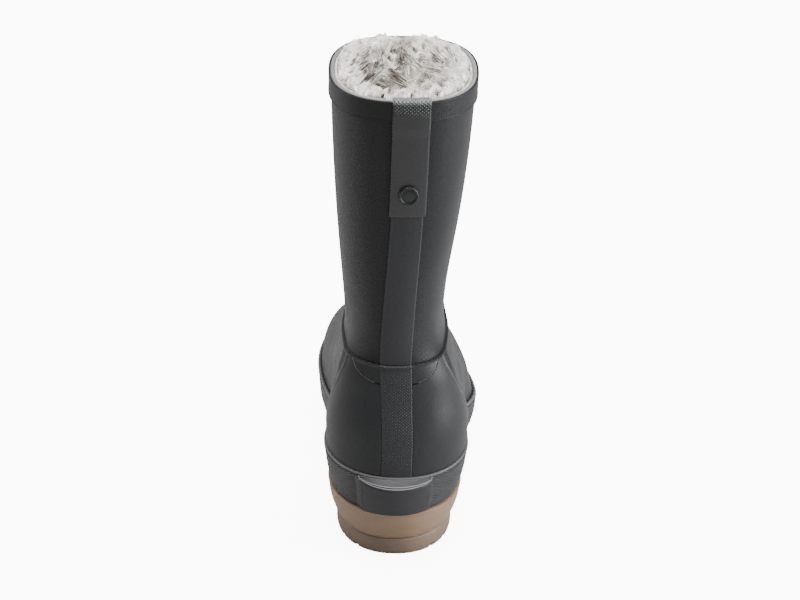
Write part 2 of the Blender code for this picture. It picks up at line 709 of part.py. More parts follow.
def build_fur_lining():
    """A sleeve inside the shaft whose upper rows carry tapered locks of pile."""
    dice = random.Random(SEED)
    outer_offset = -WALL - GAP
    rim = base(np.full(COLUMNS, COLLAR_LEVEL), ANGLES)[:, 0] - base(COLLAR_LEVEL, 0.0)[0]
    notch = (SHARES < HEEL_AT) & (np.abs(rim - strap_centre(COLLAR_LEVEL)) < TAB_WIDTH / 2 + NOTCH_MARGIN)
    rows = [LINING_LEVEL] + [level for level in SHAFT_ROWS if level > LINING_LEVEL + 0.2]
    rows += list(np.linspace(PILE_LEVEL, COLLAR_LEVEL, PILE_BANDS + 1))
    notch_depth = TAB_THICKNESS + GAP
    outside = []
    for level in rows:
        deep = np.where(notch & (level > TAB_LEVEL), notch_depth, 0.0)
        outside.append(face(level, ANGLES, outer_offset - deep))
    inside = [face(level, ANGLES, outer_offset - LINING_THICKNESS) for level in reversed(rows)]
    lining = loft("fur_lining", outside + inside, FUR, closed=True)
    shape = bmesh.new()
    shape.from_mesh(lining.data)
    shape.faces.ensure_lookup_table()
    shape.normal_update()
    first = len(rows) * COLUMNS
    locks = []
    for band in range(PILE_BANDS):
        for i in range(band % 2, COLUMNS, 2):
            locks.append((band, shape.faces[first + band * COLUMNS + i]))
    for band, cell in locks:
        normal = cell.normal.copy()
        middle = cell.calc_center_median()
        corners = [vert.co.copy() for vert in cell.verts]
        reach = PILE_LENGTH * (0.75 + 0.35 * dice.random()) * (0.75 if band == 0 else 1.0)
        drift = np.array([dice.uniform(-0.22, 0.22), dice.uniform(-0.22, 0.22), dice.uniform(-0.35, 0.10)])
        made = bmesh.ops.extrude_discrete_faces(shape, faces=[cell])["faces"][0]
        waist = [middle + (corner - middle) * 0.62 + normal * reach * 0.5 for corner in corners]
        for vert, spot in zip(made.verts, waist):
            vert.co = spot
        side = [middle[k] + normal[k] * reach + drift[k] * reach for k in range(3)]
        side[2] = min(side[2], BOOT_HEIGHT + PILE_PROUD)
        poked = bmesh.ops.poke(shape, faces=[made])["verts"][0]
        poked.co = side
    shape.to_mesh(lining.data)
    shape.free()
    return lining


def build_insole():
    inward = -WALL - 2 * GAP
    rings = [
        feather_ring(inward, TOP, TOP, 0.0, 0.0),
        feather_ring(inward, TOP, TOP, 0.0, INSOLE_THICKNESS * 0.8),
        feather_ring(inward - INSOLE_THICKNESS / 4, TOP, TOP, 0.0, INSOLE_THICKNESS),
    ]
    return loft("insole", rings, FOOTBED, closed=False)


def clear_scene():
    for obj in list(bpy.data.objects):
        bpy.data.objects.remove(obj, do_unlink=True)
    for name in ("rubber_boot", "cutters"):
        collection = bpy.data.collections.new(name)
        bpy.context.scene.collection.children.link(collection)


def centre(objects):
    """Moves every piece so that the boot's footprint is centred on the origin."""
    bpy.context.view_layer.update()
    corners = []
    for obj in bpy.data.collections["rubber_boot"].objects:
        corners += [obj.matrix_world @ vert.co for vert in obj.data.vertices]
    corners = np.array(corners)
    middle = (corners.min(0) + corners.max(0)) / 2
    for obj in objects:
        obj.location.x -= middle[0]
        obj.location.y -= middle[1]


def main():
    clear_scene()
    build_outsole()
    build_midsole()
    build_foxing()
    build_upper()
    for side in (-1.0, 1.0):
        build_heel_counter(side)
        build_ankle_patch(side)
    build_back_strap()
    build_collar_band()
    build_pull_tab()
    build_button()
    build_fur_lining()
    build_insole()
    centre(bpy.data.objects)


main()
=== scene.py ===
"""The looks of a fur-lined rubber boot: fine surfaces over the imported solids, their finishes, light and camera.

The boot's form is worked out from the same named sizes as its solids. In that frame y runs from the back of
the heel, and every finished point is moved by SHIFT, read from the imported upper, into the shared frame.
"""

import math

import bmesh
import bpy
import numpy as np
from mathutils import Matrix, Vector
from mathutils.kdtree import KDTree


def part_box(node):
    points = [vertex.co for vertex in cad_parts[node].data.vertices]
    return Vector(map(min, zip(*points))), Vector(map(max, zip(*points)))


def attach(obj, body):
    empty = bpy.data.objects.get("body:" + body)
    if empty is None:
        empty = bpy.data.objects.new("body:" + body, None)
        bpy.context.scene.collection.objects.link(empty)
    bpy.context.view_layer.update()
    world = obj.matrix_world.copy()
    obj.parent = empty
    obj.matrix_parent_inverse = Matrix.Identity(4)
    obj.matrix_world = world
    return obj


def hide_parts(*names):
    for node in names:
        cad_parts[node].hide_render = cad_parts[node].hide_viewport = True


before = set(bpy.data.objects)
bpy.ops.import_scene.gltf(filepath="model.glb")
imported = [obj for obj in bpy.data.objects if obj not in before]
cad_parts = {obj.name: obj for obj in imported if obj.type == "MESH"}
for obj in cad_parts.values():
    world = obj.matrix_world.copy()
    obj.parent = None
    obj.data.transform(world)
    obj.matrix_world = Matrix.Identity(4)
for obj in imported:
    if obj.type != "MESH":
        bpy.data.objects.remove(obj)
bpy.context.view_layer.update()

# Overall sizes, in metres
BOOT_HEIGHT = 0.330
UPPER_LENGTH = 0.279
HEEL_INSET = 0.0085
HEEL_WIDTH = 0.0935
WAIST_WIDTH = 0.090
BALL_WIDTH = 0.106
INSTEP_HEIGHT = 0.143
TOE_TIP_SWING = 0.010

# Shaft
ANKLE_HEIGHT = 0.141
ANKLE_WIDTH = 0.0665
COLLAR_WIDTH = 0.0935
COLLAR_DEPTH = 0.118
WALL = 0.0025
FOLD_STEP = 0.0012

# Sole
TREAD_HEEL = 0.013
TREAD_BALL = 0.009
MIDSOLE_HEEL = 0.0225
MIDSOLE_BALL = 0.014
TOE_SPRING = 0.009
ARCH_HEIGHT = 0.009
MIDSOLE_TAPER = 0.0056
MIDSOLE_LIP = 0.0012
TREAD_INSET = 0.0006
TREAD_ROUND = 0.0016
GROOVE_DEPTH = 0.0032
GROOVE_WIDTH = 0.0034
GROOVE_PITCH = 0.0125
GROOVE_SLANT = 0.0045
CENTRE_RIB = 0.012

# Foxing band and its kick ledge
FOXING_THICKNESS = 0.0017
FOXING_BEAD = 0.0005
FOXING_BEAD_HEIGHT = 0.0012
LEDGE_DEPTH = 0.0066
LEDGE_HALF_WIDTH = 0.0245
LEDGE_DROP = 0.0022
LEDGE_FOOT = 0.60

# Overlays
COUNTER_THICKNESS = 0.0011
COUNTER_BEAD = 0.0006
COUNTER_TIP = 0.0020
PATCH_THICKNESS = 0.0008
PATCH_REACH = 0.027
PATCH_DROP = 0.0130
STRAP_WIDTH = 0.0205
STRAP_THICKNESS = 0.0013
STRAP_LEAN = 0.0048
TAB_WIDTH = 0.0235
TAB_THICKNESS = 0.0014
TAB_DROP = 0.079
TAB_INSIDE_DROP = 0.012
TAB_BEND_FLATTEN = 0.62
NOTCH_MARGIN = 0.007
BAND_HEIGHT = 0.0135
BAND_THICKNESS = 0.0014
BUTTON_DIAMETER = 0.0130
BUTTON_HEIGHT = 0.0022
BUTTON_DROP = 0.0625
BUTTON_RIM = 0.0013
BUTTON_DISH = 0.0009

# Lining and footbed
LINING_THICKNESS = 0.0040
LINING_DEPTH = 0.165
PILE_LENGTH = 0.0125
PILE_PROUD = 0.002
PILE_DEPTH = 0.079
INSOLE_THICKNESS = 0.0045
GAP = 0.0003
FOXING_GAP = 0.0004
OVERLAY_GAP = 0.0005
PATCH_GAP = 0.0007

# Fineness
COLUMNS = 44
PILE_BANDS = 5
SEED = 7

# Each ring of the foot part runs from a back point on the heel line to a front point on the toe line.
# back_y, front_y: shares of UPPER_LENGTH. back_z, front_z: shares of the rise from sole to fold.
# heel, waist, ball: shares of those widths. outer: how full the ball's outer side is beside the inner one.
# shift: share of BALL_WIDTH. curve: how far the ring follows the sole.
FOOT_RINGS = [
    # name       back_y  back_z front_y front_z  heel  waist   ball  outer   shift  curve
    ("feather",   0.012, 0.000,  0.978,  0.000, 0.900, 0.860, 0.985, 1.00,  0.000, 1.00),
    ("bulge",     0.000, 0.115,  0.998,  0.110, 0.960, 0.925, 1.020, 1.02,  0.004, 0.92),
    ("side",     -0.007, 0.245,  0.992,  0.250, 0.995, 0.970, 1.010, 1.00,  0.004, 0.75),
    ("toe_edge", -0.004, 0.395,  0.940,  0.400, 1.000, 0.995, 0.940, 0.92,  0.006, 0.50),
    ("vamp_low",  0.003, 0.545,  0.838,  0.525, 0.975, 1.000, 0.830, 0.87,  0.006, 0.28),
    ("vamp_mid",  0.017, 0.695,  0.716,  0.645, 0.905, 0.940, 0.730, 0.90,  0.000, 0.08),
    ("instep",    0.032, 0.845,  0.612,  0.800, 0.810, 0.850, 0.650, 1.00, -0.006, 0.00),
    ("ankle",     0.043, 1.000,  0.530,  1.000, 0.725, 0.765, 0.600, 1.00, -0.018, 0.00),
]

# The shaft's rings. back_y, front_y: shares of COLLAR_DEPTH from the heel inset.
# back_z, front_z: shares of the rise from fold to collar. waist: swell from ANKLE_WIDTH to COLLAR_WIDTH.
# heel, ball: shares of that ring's own width. shift: share of COLLAR_WIDTH.
SHAFT_RINGS = [
    # name        back_y  back_z front_y front_z  waist   heel   ball   shift
    ("shaft_low",  0.098, 0.095,  1.145,  0.130,  0.02,  0.925, 0.880, -0.030),
    ("shaft_a",    0.082, 0.260,  1.065,  0.290,  0.20,  0.915, 0.885, -0.030),
    ("shaft_b",    0.052, 0.475,  1.030,  0.485,  0.52,  0.905, 0.885, -0.018),
    ("shaft_c",    0.022, 0.740,  1.012,  0.740,  0.82,  0.900, 0.885, -0.006),
    ("collar",     0.000, 1.000,  1.000,  1.000,  1.00,  0.905, 0.890,  0.000),
]
FOLD_LEVEL = float(len(FOOT_RINGS) - 1)
COLLAR_LEVEL = float(len(FOOT_RINGS) + len(SHAFT_RINGS) - 1)

# Where a ring is widest, as shares of the way from back to front
HEEL_AT = 0.20
WAIST_AT = 0.39
BALL_AT_OUTER = 0.585
BALL_AT_INNER = 0.690
BALL_AT_SHAFT = 0.700
OUTER_BALL_SHARE = 1.035
INNER_BALL_SHARE = 0.925
OUTER_WAIST_SHARE = 1.085
INNER_WAIST_SHARE = 0.975
HEEL_ROUNDNESS = 2.15
COLLAR_ROUNDNESS = 2.45
TOE_ROUNDNESS_OUTER = 1.85
TOE_ROUNDNESS_INNER = 2.35
TOE_ROUNDNESS_SHAFT = 2.05

# Underside of the tread and thickness of the layers: share of the length, then shares of the named heights.
# ground: arch and toe spring above the floor. heel_share: 1 where the heel's thickness holds, 0 at the ball.
SOLE_STATIONS = [
    # share  arch  spring heel_share
    (0.000, 0.000, 0.00, 1.00),
    (0.270, 0.000, 0.00, 1.00),
    (0.315, 1.000, 0.00, 0.93),
    (0.400, 0.800, 0.00, 0.62),
    (0.490, 0.120, 0.00, 0.28),
    (0.530, 0.000, 0.00, 0.15),
    (0.620, 0.000, 0.00, 0.00),
    (0.800, 0.000, 0.00, 0.00),
    (0.900, 0.000, 0.34, 0.00),
    (1.000, 0.000, 1.00, 0.06),
]

# Stretches of the length, as shares, that the tread's grooves cross
TREAD_RUNS = [
    # start   stop
    (0.055, 0.235),
    (0.530, 0.905),
]

# Level of the foxing's top edge round the boot, and how far the heel counter reaches at each level.
FOXING_TOP = [
    # share level
    (0.00, 2.20),
    (0.18, 2.18),
    (0.32, 1.92),
    (0.60, 1.38),
    (0.85, 1.28),
    (1.00, 1.46),
]
COUNTER_REACH = [
    # level  share of the ring
    (2.00, 0.245),
    (3.00, 0.232),
    (4.00, 0.212),
    (5.00, 0.180),
    (6.00, 0.138),
    (6.50, 0.124),
    (6.97, 0.130),
]

# The V under the fold: how far it reaches beside the strap on its way up from its lower edge.
PATCH_SHAPE = [
    # climb  share of the reach
    (0.00, 0.14),
    (0.14, 0.44),
    (0.30, 0.70),
    (0.58, 0.90),
    (1.00, 1.00),
]

# Rows of the upper behind the foxing as shares of its height, then up to the fold, then up to the collar
FOXING_ROWS = (0.28, 0.60)
LOW_ROWS = (2.70, 3.30, 3.95, 4.60, 5.25)
SHAFT_ROWS = (7.45, 8.00, 8.60, 9.30, 10.00)

RUBBER = ("dark_rubber", (0.035, 0.036, 0.040), 0.52)
GUM = ("gum_rubber", (0.300, 0.195, 0.115), 0.50)
TREAD = ("tread_rubber", (0.165, 0.115, 0.075), 0.58)
FUR = ("pale_fur", (0.780, 0.750, 0.700), 0.95)
FOOTBED = ("footbed_felt", (0.420, 0.390, 0.350), 0.95)


def ease(t):
    """A smooth step from 0 to 1."""
    t = np.clip(t, 0.0, 1.0)
    return t * t * (3.0 - 2.0 * t)


def column(table, index):
    return np.array([row[index] for row in table], float)


def along(table, index, at):
    """A table's column read between its rows."""
    return np.interp(at, column(table, 0), column(table, index))


GROUND, JOINT, TOP = range(3)


def sole_heights(share):
    """Underside of tread, joint of tread and midsole, and top of midsole, at shares of the length."""
    heel = ease(along(SOLE_STATIONS, 3, share))
    ground = ARCH_HEIGHT * along(SOLE_STATIONS, 1, share) + TOE_SPRING * along(SOLE_STATIONS, 2, share)
    tread = TREAD_BALL + (TREAD_HEEL - TREAD_BALL) * heel
    spring = TOE_SPRING * along(SOLE_STATIONS, 2, share)
    midsole = MIDSOLE_BALL + (MIDSOLE_HEEL - MIDSOLE_BALL) * heel
    return ground, tread + spring, tread + spring + midsole


def length_share(y):
    """How far along the boot a point lies, as a share of the upper's length."""
    return (y - HEEL_INSET) / UPPER_LENGTH


HEEL_SEAT = TREAD_HEEL + MIDSOLE_HEEL
TOE_SEAT = float(sole_heights(1.0)[TOP])


def ring_sizes():
    """Each ring's sizes: back and front y and z, half widths at heel, waist and ball, outer, shift, curve."""
    rows = []
    for _, back_y, back_z, front_y, front_z, heel, waist, ball, outer, shift, curve in FOOT_RINGS:
        rows.append((
            HEEL_INSET + back_y * UPPER_LENGTH,
            HEEL_SEAT + back_z * (ANKLE_HEIGHT - HEEL_SEAT),
            HEEL_INSET + front_y * UPPER_LENGTH,
            TOE_SEAT + front_z * (INSTEP_HEIGHT - TOE_SEAT),
            heel * HEEL_WIDTH / 2,
            waist * WAIST_WIDTH / 2,
            ball * BALL_WIDTH / 2,
            outer,
            shift * BALL_WIDTH,
            curve,
        ))
    for _, back_y, back_z, front_y, front_z, waist, heel, ball, shift in SHAFT_RINGS:
        half = (ANKLE_WIDTH + (COLLAR_WIDTH - ANKLE_WIDTH) * waist) / 2
        rows.append((
            HEEL_INSET + back_y * COLLAR_DEPTH,
            ANKLE_HEIGHT + back_z * (BOOT_HEIGHT - ANKLE_HEIGHT),
            HEEL_INSET + front_y * COLLAR_DEPTH,
            ANKLE_HEIGHT + front_z * (BOOT_HEIGHT - ANKLE_HEIGHT),
            heel * half,
            half,
            ball * half,
            1.0,
            shift * COLLAR_WIDTH,
            0.0,
        ))
    return np.array(rows)


def smooth_rows(rows):
    """Second derivatives of the natural cubic through rows that lie one level apart."""
    count = len(rows)
    system = np.eye(count)
    bends = np.zeros_like(rows)
    for i in range(1, count - 1):
        system[i, i - 1:i + 2] = 1.0, 4.0, 1.0
        bends[i] = 6.0 * (rows[i + 1] - 2.0 * rows[i] + rows[i - 1])
    return np.linalg.solve(system, bends)


RING_SIZES = ring_sizes()
RING_BENDS = smooth_rows(RING_SIZES)


def ring_at(level):
    """The sizes of the ring at any level, read from the smooth curves through the tables."""
    low = np.clip(np.floor(level).astype(int), 0, len(RING_SIZES) - 2)
    t = (level - low)[..., None]
    u = 1.0 - t
    bend = (RING_BENDS[low] * (u**3 - u) + RING_BENDS[low + 1] * (t**3 - t)) / 6.0
    return np.moveaxis(RING_SIZES[low] * u + RING_SIZES[low + 1] * t + bend, -1, 0)


def share_of(angle):
    """How far along its ring an angle lies: 0 at the back, 1 at the front."""
    return (1.0 - np.cos(angle)) / 2.0


def base(level, angle):
    """A point of the upper's outer face. Angle 0 is the back, a quarter turn the outer side, half the toe."""
    level, angle = np.broadcast_arrays(np.asarray(level, float), np.asarray(angle, float))
    back_y, back_z, front_y, front_z, heel, waist, ball, fullness, shift, curve = ring_at(level)
    outer = np.sin(angle) >= 0.0
    share = share_of(angle)
    upright = 1.0 - curve
    ball_at = curve * np.where(outer, BALL_AT_OUTER, BALL_AT_INNER) + upright * BALL_AT_SHAFT
    ball = ball * (curve * np.where(outer, OUTER_BALL_SHARE, INNER_BALL_SHARE) + upright)
    ball = ball * np.where(outer, fullness, 1.0)
    waist = waist * (curve * np.where(outer, OUTER_WAIST_SHARE, INNER_WAIST_SHARE) + upright)
    toe_round = curve * np.where(outer, TOE_ROUNDNESS_OUTER, TOE_ROUNDNESS_INNER)
    toe_round = toe_round + upright * TOE_ROUNDNESS_SHAFT
    collar = ease((level - FOLD_LEVEL) / (COLLAR_LEVEL - FOLD_LEVEL))
    heel_round = HEEL_ROUNDNESS + (COLLAR_ROUNDNESS - HEEL_ROUNDNESS) * collar
    half = heel + (waist - heel) * ease((share - HEEL_AT) / (WAIST_AT - HEEL_AT))
    half = half + (ball - waist) * ease((share - WAIST_AT) / (ball_at - WAIST_AT))
    to_back = np.clip(1.0 - share / HEEL_AT, 0.0, 1.0)
    to_front = np.clip((share - ball_at) / (1.0 - ball_at), 0.0, 1.0)
    half = half * (1.0 - to_back**heel_round) ** (1.0 / heel_round)
    half = half * (1.0 - to_front**toe_round) ** (1.0 / toe_round)
    oval = waist * (1.0 - np.abs(2.0 * share - 1.0) ** heel_round) ** (1.0 / heel_round)
    half = half + (oval - half) * ease((level - FOLD_LEVEL + 1.0) / 2.5)
    middle = shift - curve * TOE_TIP_SWING * ease((share - 0.50) / 0.50)
    y = back_y + (front_y - back_y) * share
    straight = back_z + (front_z - back_z) * share
    low_line = HEEL_SEAT + (TOE_SEAT - HEEL_SEAT) * share
    height = straight + curve * (sole_heights(length_share(y))[TOP] - low_line)
    return np.stack([middle + np.where(outer, 1.0, -1.0) * half, y, height], -1)


def outward(level, angle):
    """The unit normal of that face, kept level at the feather edge and at the collar."""
    step_level, step_angle = 0.02, 0.01
    above = np.minimum(level + step_level, COLLAR_LEVEL)
    below = np.maximum(level - step_level, 0.0)
    up = base(above, angle) - base(below, angle)
    round_it = base(level, angle + step_angle) - base(level, angle - step_angle)
    normal = np.cross(round_it, up)
    rise = ease(np.asarray(level, float) / 0.8) * ease((COLLAR_LEVEL - level) / 0.3)
    normal[..., 2] *= np.broadcast_to(rise, normal.shape[:-1])
    return normal / np.linalg.norm(normal, axis=-1, keepdims=True)


def fold_step(level):
    """How far the foot part's face stands outside the shaft's, under the fold."""
    return FOLD_STEP * ease((level - 5.0) / 1.5) * (level < FOLD_LEVEL)


def face(level, angle, offset):
    """A point at an offset from the upper's outer face."""
    level, angle, offset = np.broadcast_arrays(
        np.asarray(level, float), np.asarray(angle, float), np.asarray(offset, float))
    return base(level, angle) + outward(level, angle) * offset[..., None]


def level_at(height, angle=0.0):
    """The level at which the back of the boot reaches a height."""
    levels = np.linspace(0.0, COLLAR_LEVEL, 600)
    return float(np.interp(height, base(levels, angle)[:, 2], levels))


def angle_at(level, x):
    """The angle on the back half of a ring at which it lies x beside its own back point."""
    angles = np.linspace(-1.2, 1.2, 241)
    points = base(np.full_like(angles, level), angles)
    return np.interp(x, points[:, 0] - points[120, 0], angles)


ANGLES = np.arange(COLUMNS) * 2.0 * math.pi / COLUMNS
SHARES = share_of(ANGLES)
FOXING_LEVEL = along(FOXING_TOP, 1, SHARES)
TAB_LEVEL = level_at(BOOT_HEIGHT - TAB_DROP)
BAND_LEVEL = level_at(BOOT_HEIGHT - BAND_HEIGHT)
LINING_LEVEL = level_at(BOOT_HEIGHT - LINING_DEPTH)
TAB_CLEAR = max(OVERLAY_GAP + STRAP_THICKNESS, GAP + BAND_THICKNESS) + GAP
PILE_LEVEL = level_at(BOOT_HEIGHT - PILE_DEPTH)
UNDER_FOLD = FOLD_LEVEL - 0.001
PATCH_LEVEL = level_at(ANKLE_HEIGHT - PATCH_DROP)
FOOT_ROWS = LOW_ROWS + (PATCH_LEVEL, (PATCH_LEVEL + FOLD_LEVEL) / 2)
PATCH_RANGE = (PATCH_LEVEL + 0.02, UNDER_FOLD - 0.03)
PATCH_ROWS = tuple(PATCH_RANGE[0] + (PATCH_RANGE[1] - PATCH_RANGE[0]) * row[0] for row in PATCH_SHAPE)
ABOVE_FOXING = -1.0
FOXING_CLEARANCE = 0.04
FOLD_LIFT = level_at(ANKLE_HEIGHT + 2 * GAP) - FOLD_LEVEL


def upper_rows():
    """The levels of the upper's rows, each as one level for every column."""
    rows = [np.zeros(COLUMNS), *(FOXING_LEVEL * share for share in FOXING_ROWS), FOXING_LEVEL]
    levels = FOOT_ROWS + (UNDER_FOLD, FOLD_LEVEL) + SHAFT_ROWS
    levels += (TAB_LEVEL, (TAB_LEVEL + BAND_LEVEL) / 2, BAND_LEVEL, COLLAR_LEVEL)
    return rows + [np.full(COLUMNS, level) for level in levels]


def strap_centre(level):
    """The strap's middle beside the back point: it leans outward as it climbs the shaft."""
    return STRAP_LEAN * ease((level - FOLD_LEVEL + 1.0) / (COLLAR_LEVEL - FOLD_LEVEL))


def strap_edge(level, side):
    """Where a piece beside the strap starts: a gap away from its edge."""
    return strap_centre(level) + side * (STRAP_WIDTH / 2 + GAP)


def patch_reach(level):
    """How far the V under the fold reaches beside the middle of the heel: widest at the fold."""
    climb = (level - PATCH_RANGE[0]) / (PATCH_RANGE[1] - PATCH_RANGE[0])
    near = STRAP_WIDTH / 2 + GAP
    return near + (PATCH_REACH - near) * along(PATCH_SHAPE, 1, climb)

# Fineness of the finished surfaces
FINE_COLUMNS = 360
BACK_CROWDING = 0.5
STRANDS_PER_PIECE = 26000
FUR_PIECES = 3

# Fold at the ankle: a rolled lip on the foot part, a dark groove, and the shaft's lower roll
LIP_LEVEL = 6.945
LIP_HEIGHT = 0.00050
LIP_SPREAD = 0.020
GROOVE_LEVEL = 7.012
FOLD_DEPTH = 0.00035
FOLD_SPREAD = 0.012
ROLL_LEVEL = 7.11
ROLL_HEIGHT = 0.00004
ROLL_SPREAD = 0.055

# Soft ridges and troughs of the moulded rubber: a point each on its path as level and share of the ring
CREASES = [
    # side, height, spread, path of (level, share)
    (1, 0.00060, 0.0026, ((7.10, 0.205), (6.70, 0.170), (6.25, 0.158), (5.30, 0.205), (4.30, 0.262), (3.40, 0.290))),
    (1, -0.00045, 0.0024, ((6.90, 0.140), (6.30, 0.128), (5.40, 0.178), (4.40, 0.232), (3.50, 0.262))),
    (-1, 0.00055, 0.0028, ((7.05, 0.215), (6.60, 0.178), (6.10, 0.180), (5.20, 0.235), (4.20, 0.285))),
    (-1, -0.00040, 0.0024, ((6.90, 0.140), (6.20, 0.150), (5.30, 0.200), (4.40, 0.248))),
    (-1, 0.00080, 0.0060, ((5.60, 0.300), (4.80, 0.420), (4.40, 0.540), (3.60, 0.600), (2.90, 0.620))),
    (1, 0.00070, 0.0060, ((5.50, 0.330), (4.70, 0.440), (4.20, 0.560), (3.50, 0.640))),
    (1, -0.00060, 0.0040, ((6.80, 0.500), (6.30, 0.640), (6.10, 0.800), (6.05, 1.000))),
    (-1, -0.00060, 0.0040, ((6.80, 0.500), (6.30, 0.640), (6.10, 0.800), (6.05, 1.000))),
    (1, -0.00035, 0.0060, ((9.60, 0.120), (8.90, 0.220), (8.60, 0.340))),
    (-1, -0.00035, 0.0070, ((9.00, 0.080), (8.40, 0.180), (8.10, 0.300))),
    (1, -0.00035, 0.0080, ((7.90, 0.700), (7.70, 0.860), (7.65, 1.000))),
    (-1, -0.00035, 0.0080, ((7.90, 0.700), (7.70, 0.860), (7.65, 1.000))),
]

# Photo's camera: angles in degrees, distances in metres, focal length in picture widths
CAMERA_ELEVATION = 25.94
CAMERA_YAW = 0.74
CAMERA_ROLL = 1.32
CAMERA_DISTANCE = 1.6739
CAMERA_AIM = (0.00106, 0.070, 0.16466)
SENSOR_WIDTH = 36.0
PICTURE_WIDTHS = 2509.0 / 800.0


def find_shift():
    """The move from the frame in which the form is worked out to the shared frame."""
    rings = np.concatenate([face(level, ANGLES, fold_step(level)) for level in upper_rows()])
    low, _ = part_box("upper")
    return np.array([low[0] - rings[:, 0].min(), low[1] - rings[:, 1].min(), 0.0])


SHIFT = find_shift()
EVEN_TURNS = np.arange(FINE_COLUMNS) * 2.0 * math.pi / FINE_COLUMNS
FINE_ANGLES = EVEN_TURNS - BACK_CROWDING * np.sin(EVEN_TURNS)
FINE_SHARES = share_of(FINE_ANGLES)
FINE_TOP = along(FOXING_TOP, 1, FINE_SHARES)


def bell(distance, spread):
    """A soft bump of height 1 at distance 0."""
    return np.exp(-0.5 * (distance / spread) ** 2)


def fold_profile(level):
    """Offset of the upper's face near the fold, on top of the plain step."""
    lip = LIP_HEIGHT * bell(level - LIP_LEVEL, LIP_SPREAD)
    groove = -FOLD_DEPTH * bell(level - GROOVE_LEVEL, FOLD_SPREAD)
    roll = ROLL_HEIGHT * bell(level - ROLL_LEVEL, ROLL_SPREAD)
    return fold_step(level) + lip + groove + roll


def path_points(path, side):
    """A crease's path as close-set points on the upper's face."""
    steps = np.linspace(0.0, len(path) - 1.0, 60)
    levels = np.interp(steps, range(len(path)), [point[0] for point in path])
    shares = np.interp(steps, range(len(path)), [point[1] for point in path])
    return base(levels, side * np.arccos(1.0 - 2.0 * shares))


def crease_relief(points):
    """Height of all the creases at points of the upper's face."""
    relief = np.zeros(len(points))
    for side, height, spread, path in CREASES:
        line = path_points(path, side)
        near = np.full(len(points), 1e9)
        where = np.zeros(len(points))
        for i, spot in enumerate(line):
            gap = ((points - spot) ** 2).sum(1)
            where = np.where(gap < near, i / (len(line) - 1.0), where)
            near = np.minimum(near, gap)
        fade = ease(where / 0.18) * ease((1.0 - where) / 0.18)
        relief += height * bell(np.sqrt(near), spread) * fade
    return relief


def finish_mesh(name, points, faces, lay=None, extra=None):
    """A smooth mesh object in the shared frame, with its surface measures kept as point attributes."""
    mesh = bpy.data.meshes.new(name)
    mesh.vertices.add(len(points))
    mesh.vertices.foreach_set("co", (np.asarray(points) + SHIFT).astype(np.float32).ravel())
    faces = np.asarray(faces)
    sizes = faces.shape[1]
    mesh.loops.add(faces.size)
    mesh.loops.foreach_set("vertex_index", faces.astype(np.int32).ravel())
    mesh.polygons.add(len(faces))
    mesh.polygons.foreach_set("loop_start", (np.arange(len(faces)) * sizes).astype(np.int32))
    mesh.update(calc_edges=True)
    mesh.validate()
    if lay is not None:
        layer = mesh.attributes.new("lay", "FLOAT_VECTOR", "POINT")
        layer.data.foreach_set("vector", np.asarray(lay).astype(np.float32).ravel())
    for key, values in (extra or {}).items():
        layer = mesh.attributes.new(key, "FLOAT", "POINT")
        layer.data.foreach_set("value", np.asarray(values).astype(np.float32).ravel())
    mesh.shade_smooth()
    obj = bpy.data.objects.new(name, mesh)
    bpy.context.scene.collection.objects.link(obj)
    return obj


def grid_faces(rows, columns, round_columns, round_rows):
    """Quads of a grid of points, closed round its columns or rows where asked."""
    down = np.arange(rows if round_rows else rows - 1)
    across = np.arange(columns if round_columns else columns - 1)
    i, j = np.meshgrid(down, across, indexing="ij")
    i, j = i.ravel(), j.ravel()
    below, beside = (i + 1) % rows, (j + 1) % columns
    return np.stack([i * columns + j, i * columns + beside, below * columns + beside, below * columns + j], 1)


def measures(grid):
    """For each point of a grid: metres round from the back on either side, metres along the rows, and the side."""
    steps = np.linalg.norm(np.diff(grid, axis=0), axis=2)
    up = np.concatenate([np.zeros((1, grid.shape[1])), np.cumsum(steps, 0)])
    round_steps = np.linalg.norm(np.diff(grid, axis=1, append=grid[:, :1]), axis=2)
    forward = np.concatenate([np.zeros((len(grid), 1)), np.cumsum(round_steps, 1)[:, :-1]], 1)
    total = round_steps.sum(1, keepdims=True)
    signed = np.minimum(forward, total - forward)
    side = np.where(forward <= total / 2, 1.0, -1.0)
    return np.stack([signed, up, side], -1).reshape(-1, 3)


def ring_solid(name, rings, closed):
    """A solid through fine rings: closed into a loop of rows, or capped at its first and last ring."""
    grid = np.stack(rings)
    obj = finish_mesh(name, grid.reshape(-1, 3), grid_faces(*grid.shape[:2], True, closed), measures(grid))
    if not closed:
        shape = bmesh.new()
        shape.from_mesh(obj.data)
        edges = [edge for edge in shape.edges if edge.is_boundary]
        bmesh.ops.holes_fill(shape, edges=edges, sides=0)
        bmesh.ops.triangulate(shape, faces=[f for f in shape.faces if len(f.verts) > 4])
        bmesh.ops.recalc_face_normals(shape, faces=shape.faces)
        shape.to_mesh(obj.data)
        shape.free()
        obj.data.shade_smooth()
    return obj


def outward_faces(obj):
    """Turns every face of a closed piece to point out."""
    shape = bmesh.new()
    shape.from_mesh(obj.data)
    bmesh.ops.recalc_face_normals(shape, faces=shape.faces)
    shape.to_mesh(obj.data)
    shape.free()
    return obj


def sharpen(obj, degrees=32.0):
    obj.data.set_sharp_from_angle(angle=math.radians(degrees))
    return obj


def settle(obj, material, slot, *nodes):
    """Gives a piece its finish, its body and the solids that it stands for."""
    obj.data.materials.clear()
    obj.data.materials.append(material)
    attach(obj, "root")
    if nodes:
        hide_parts(*nodes)
    return obj


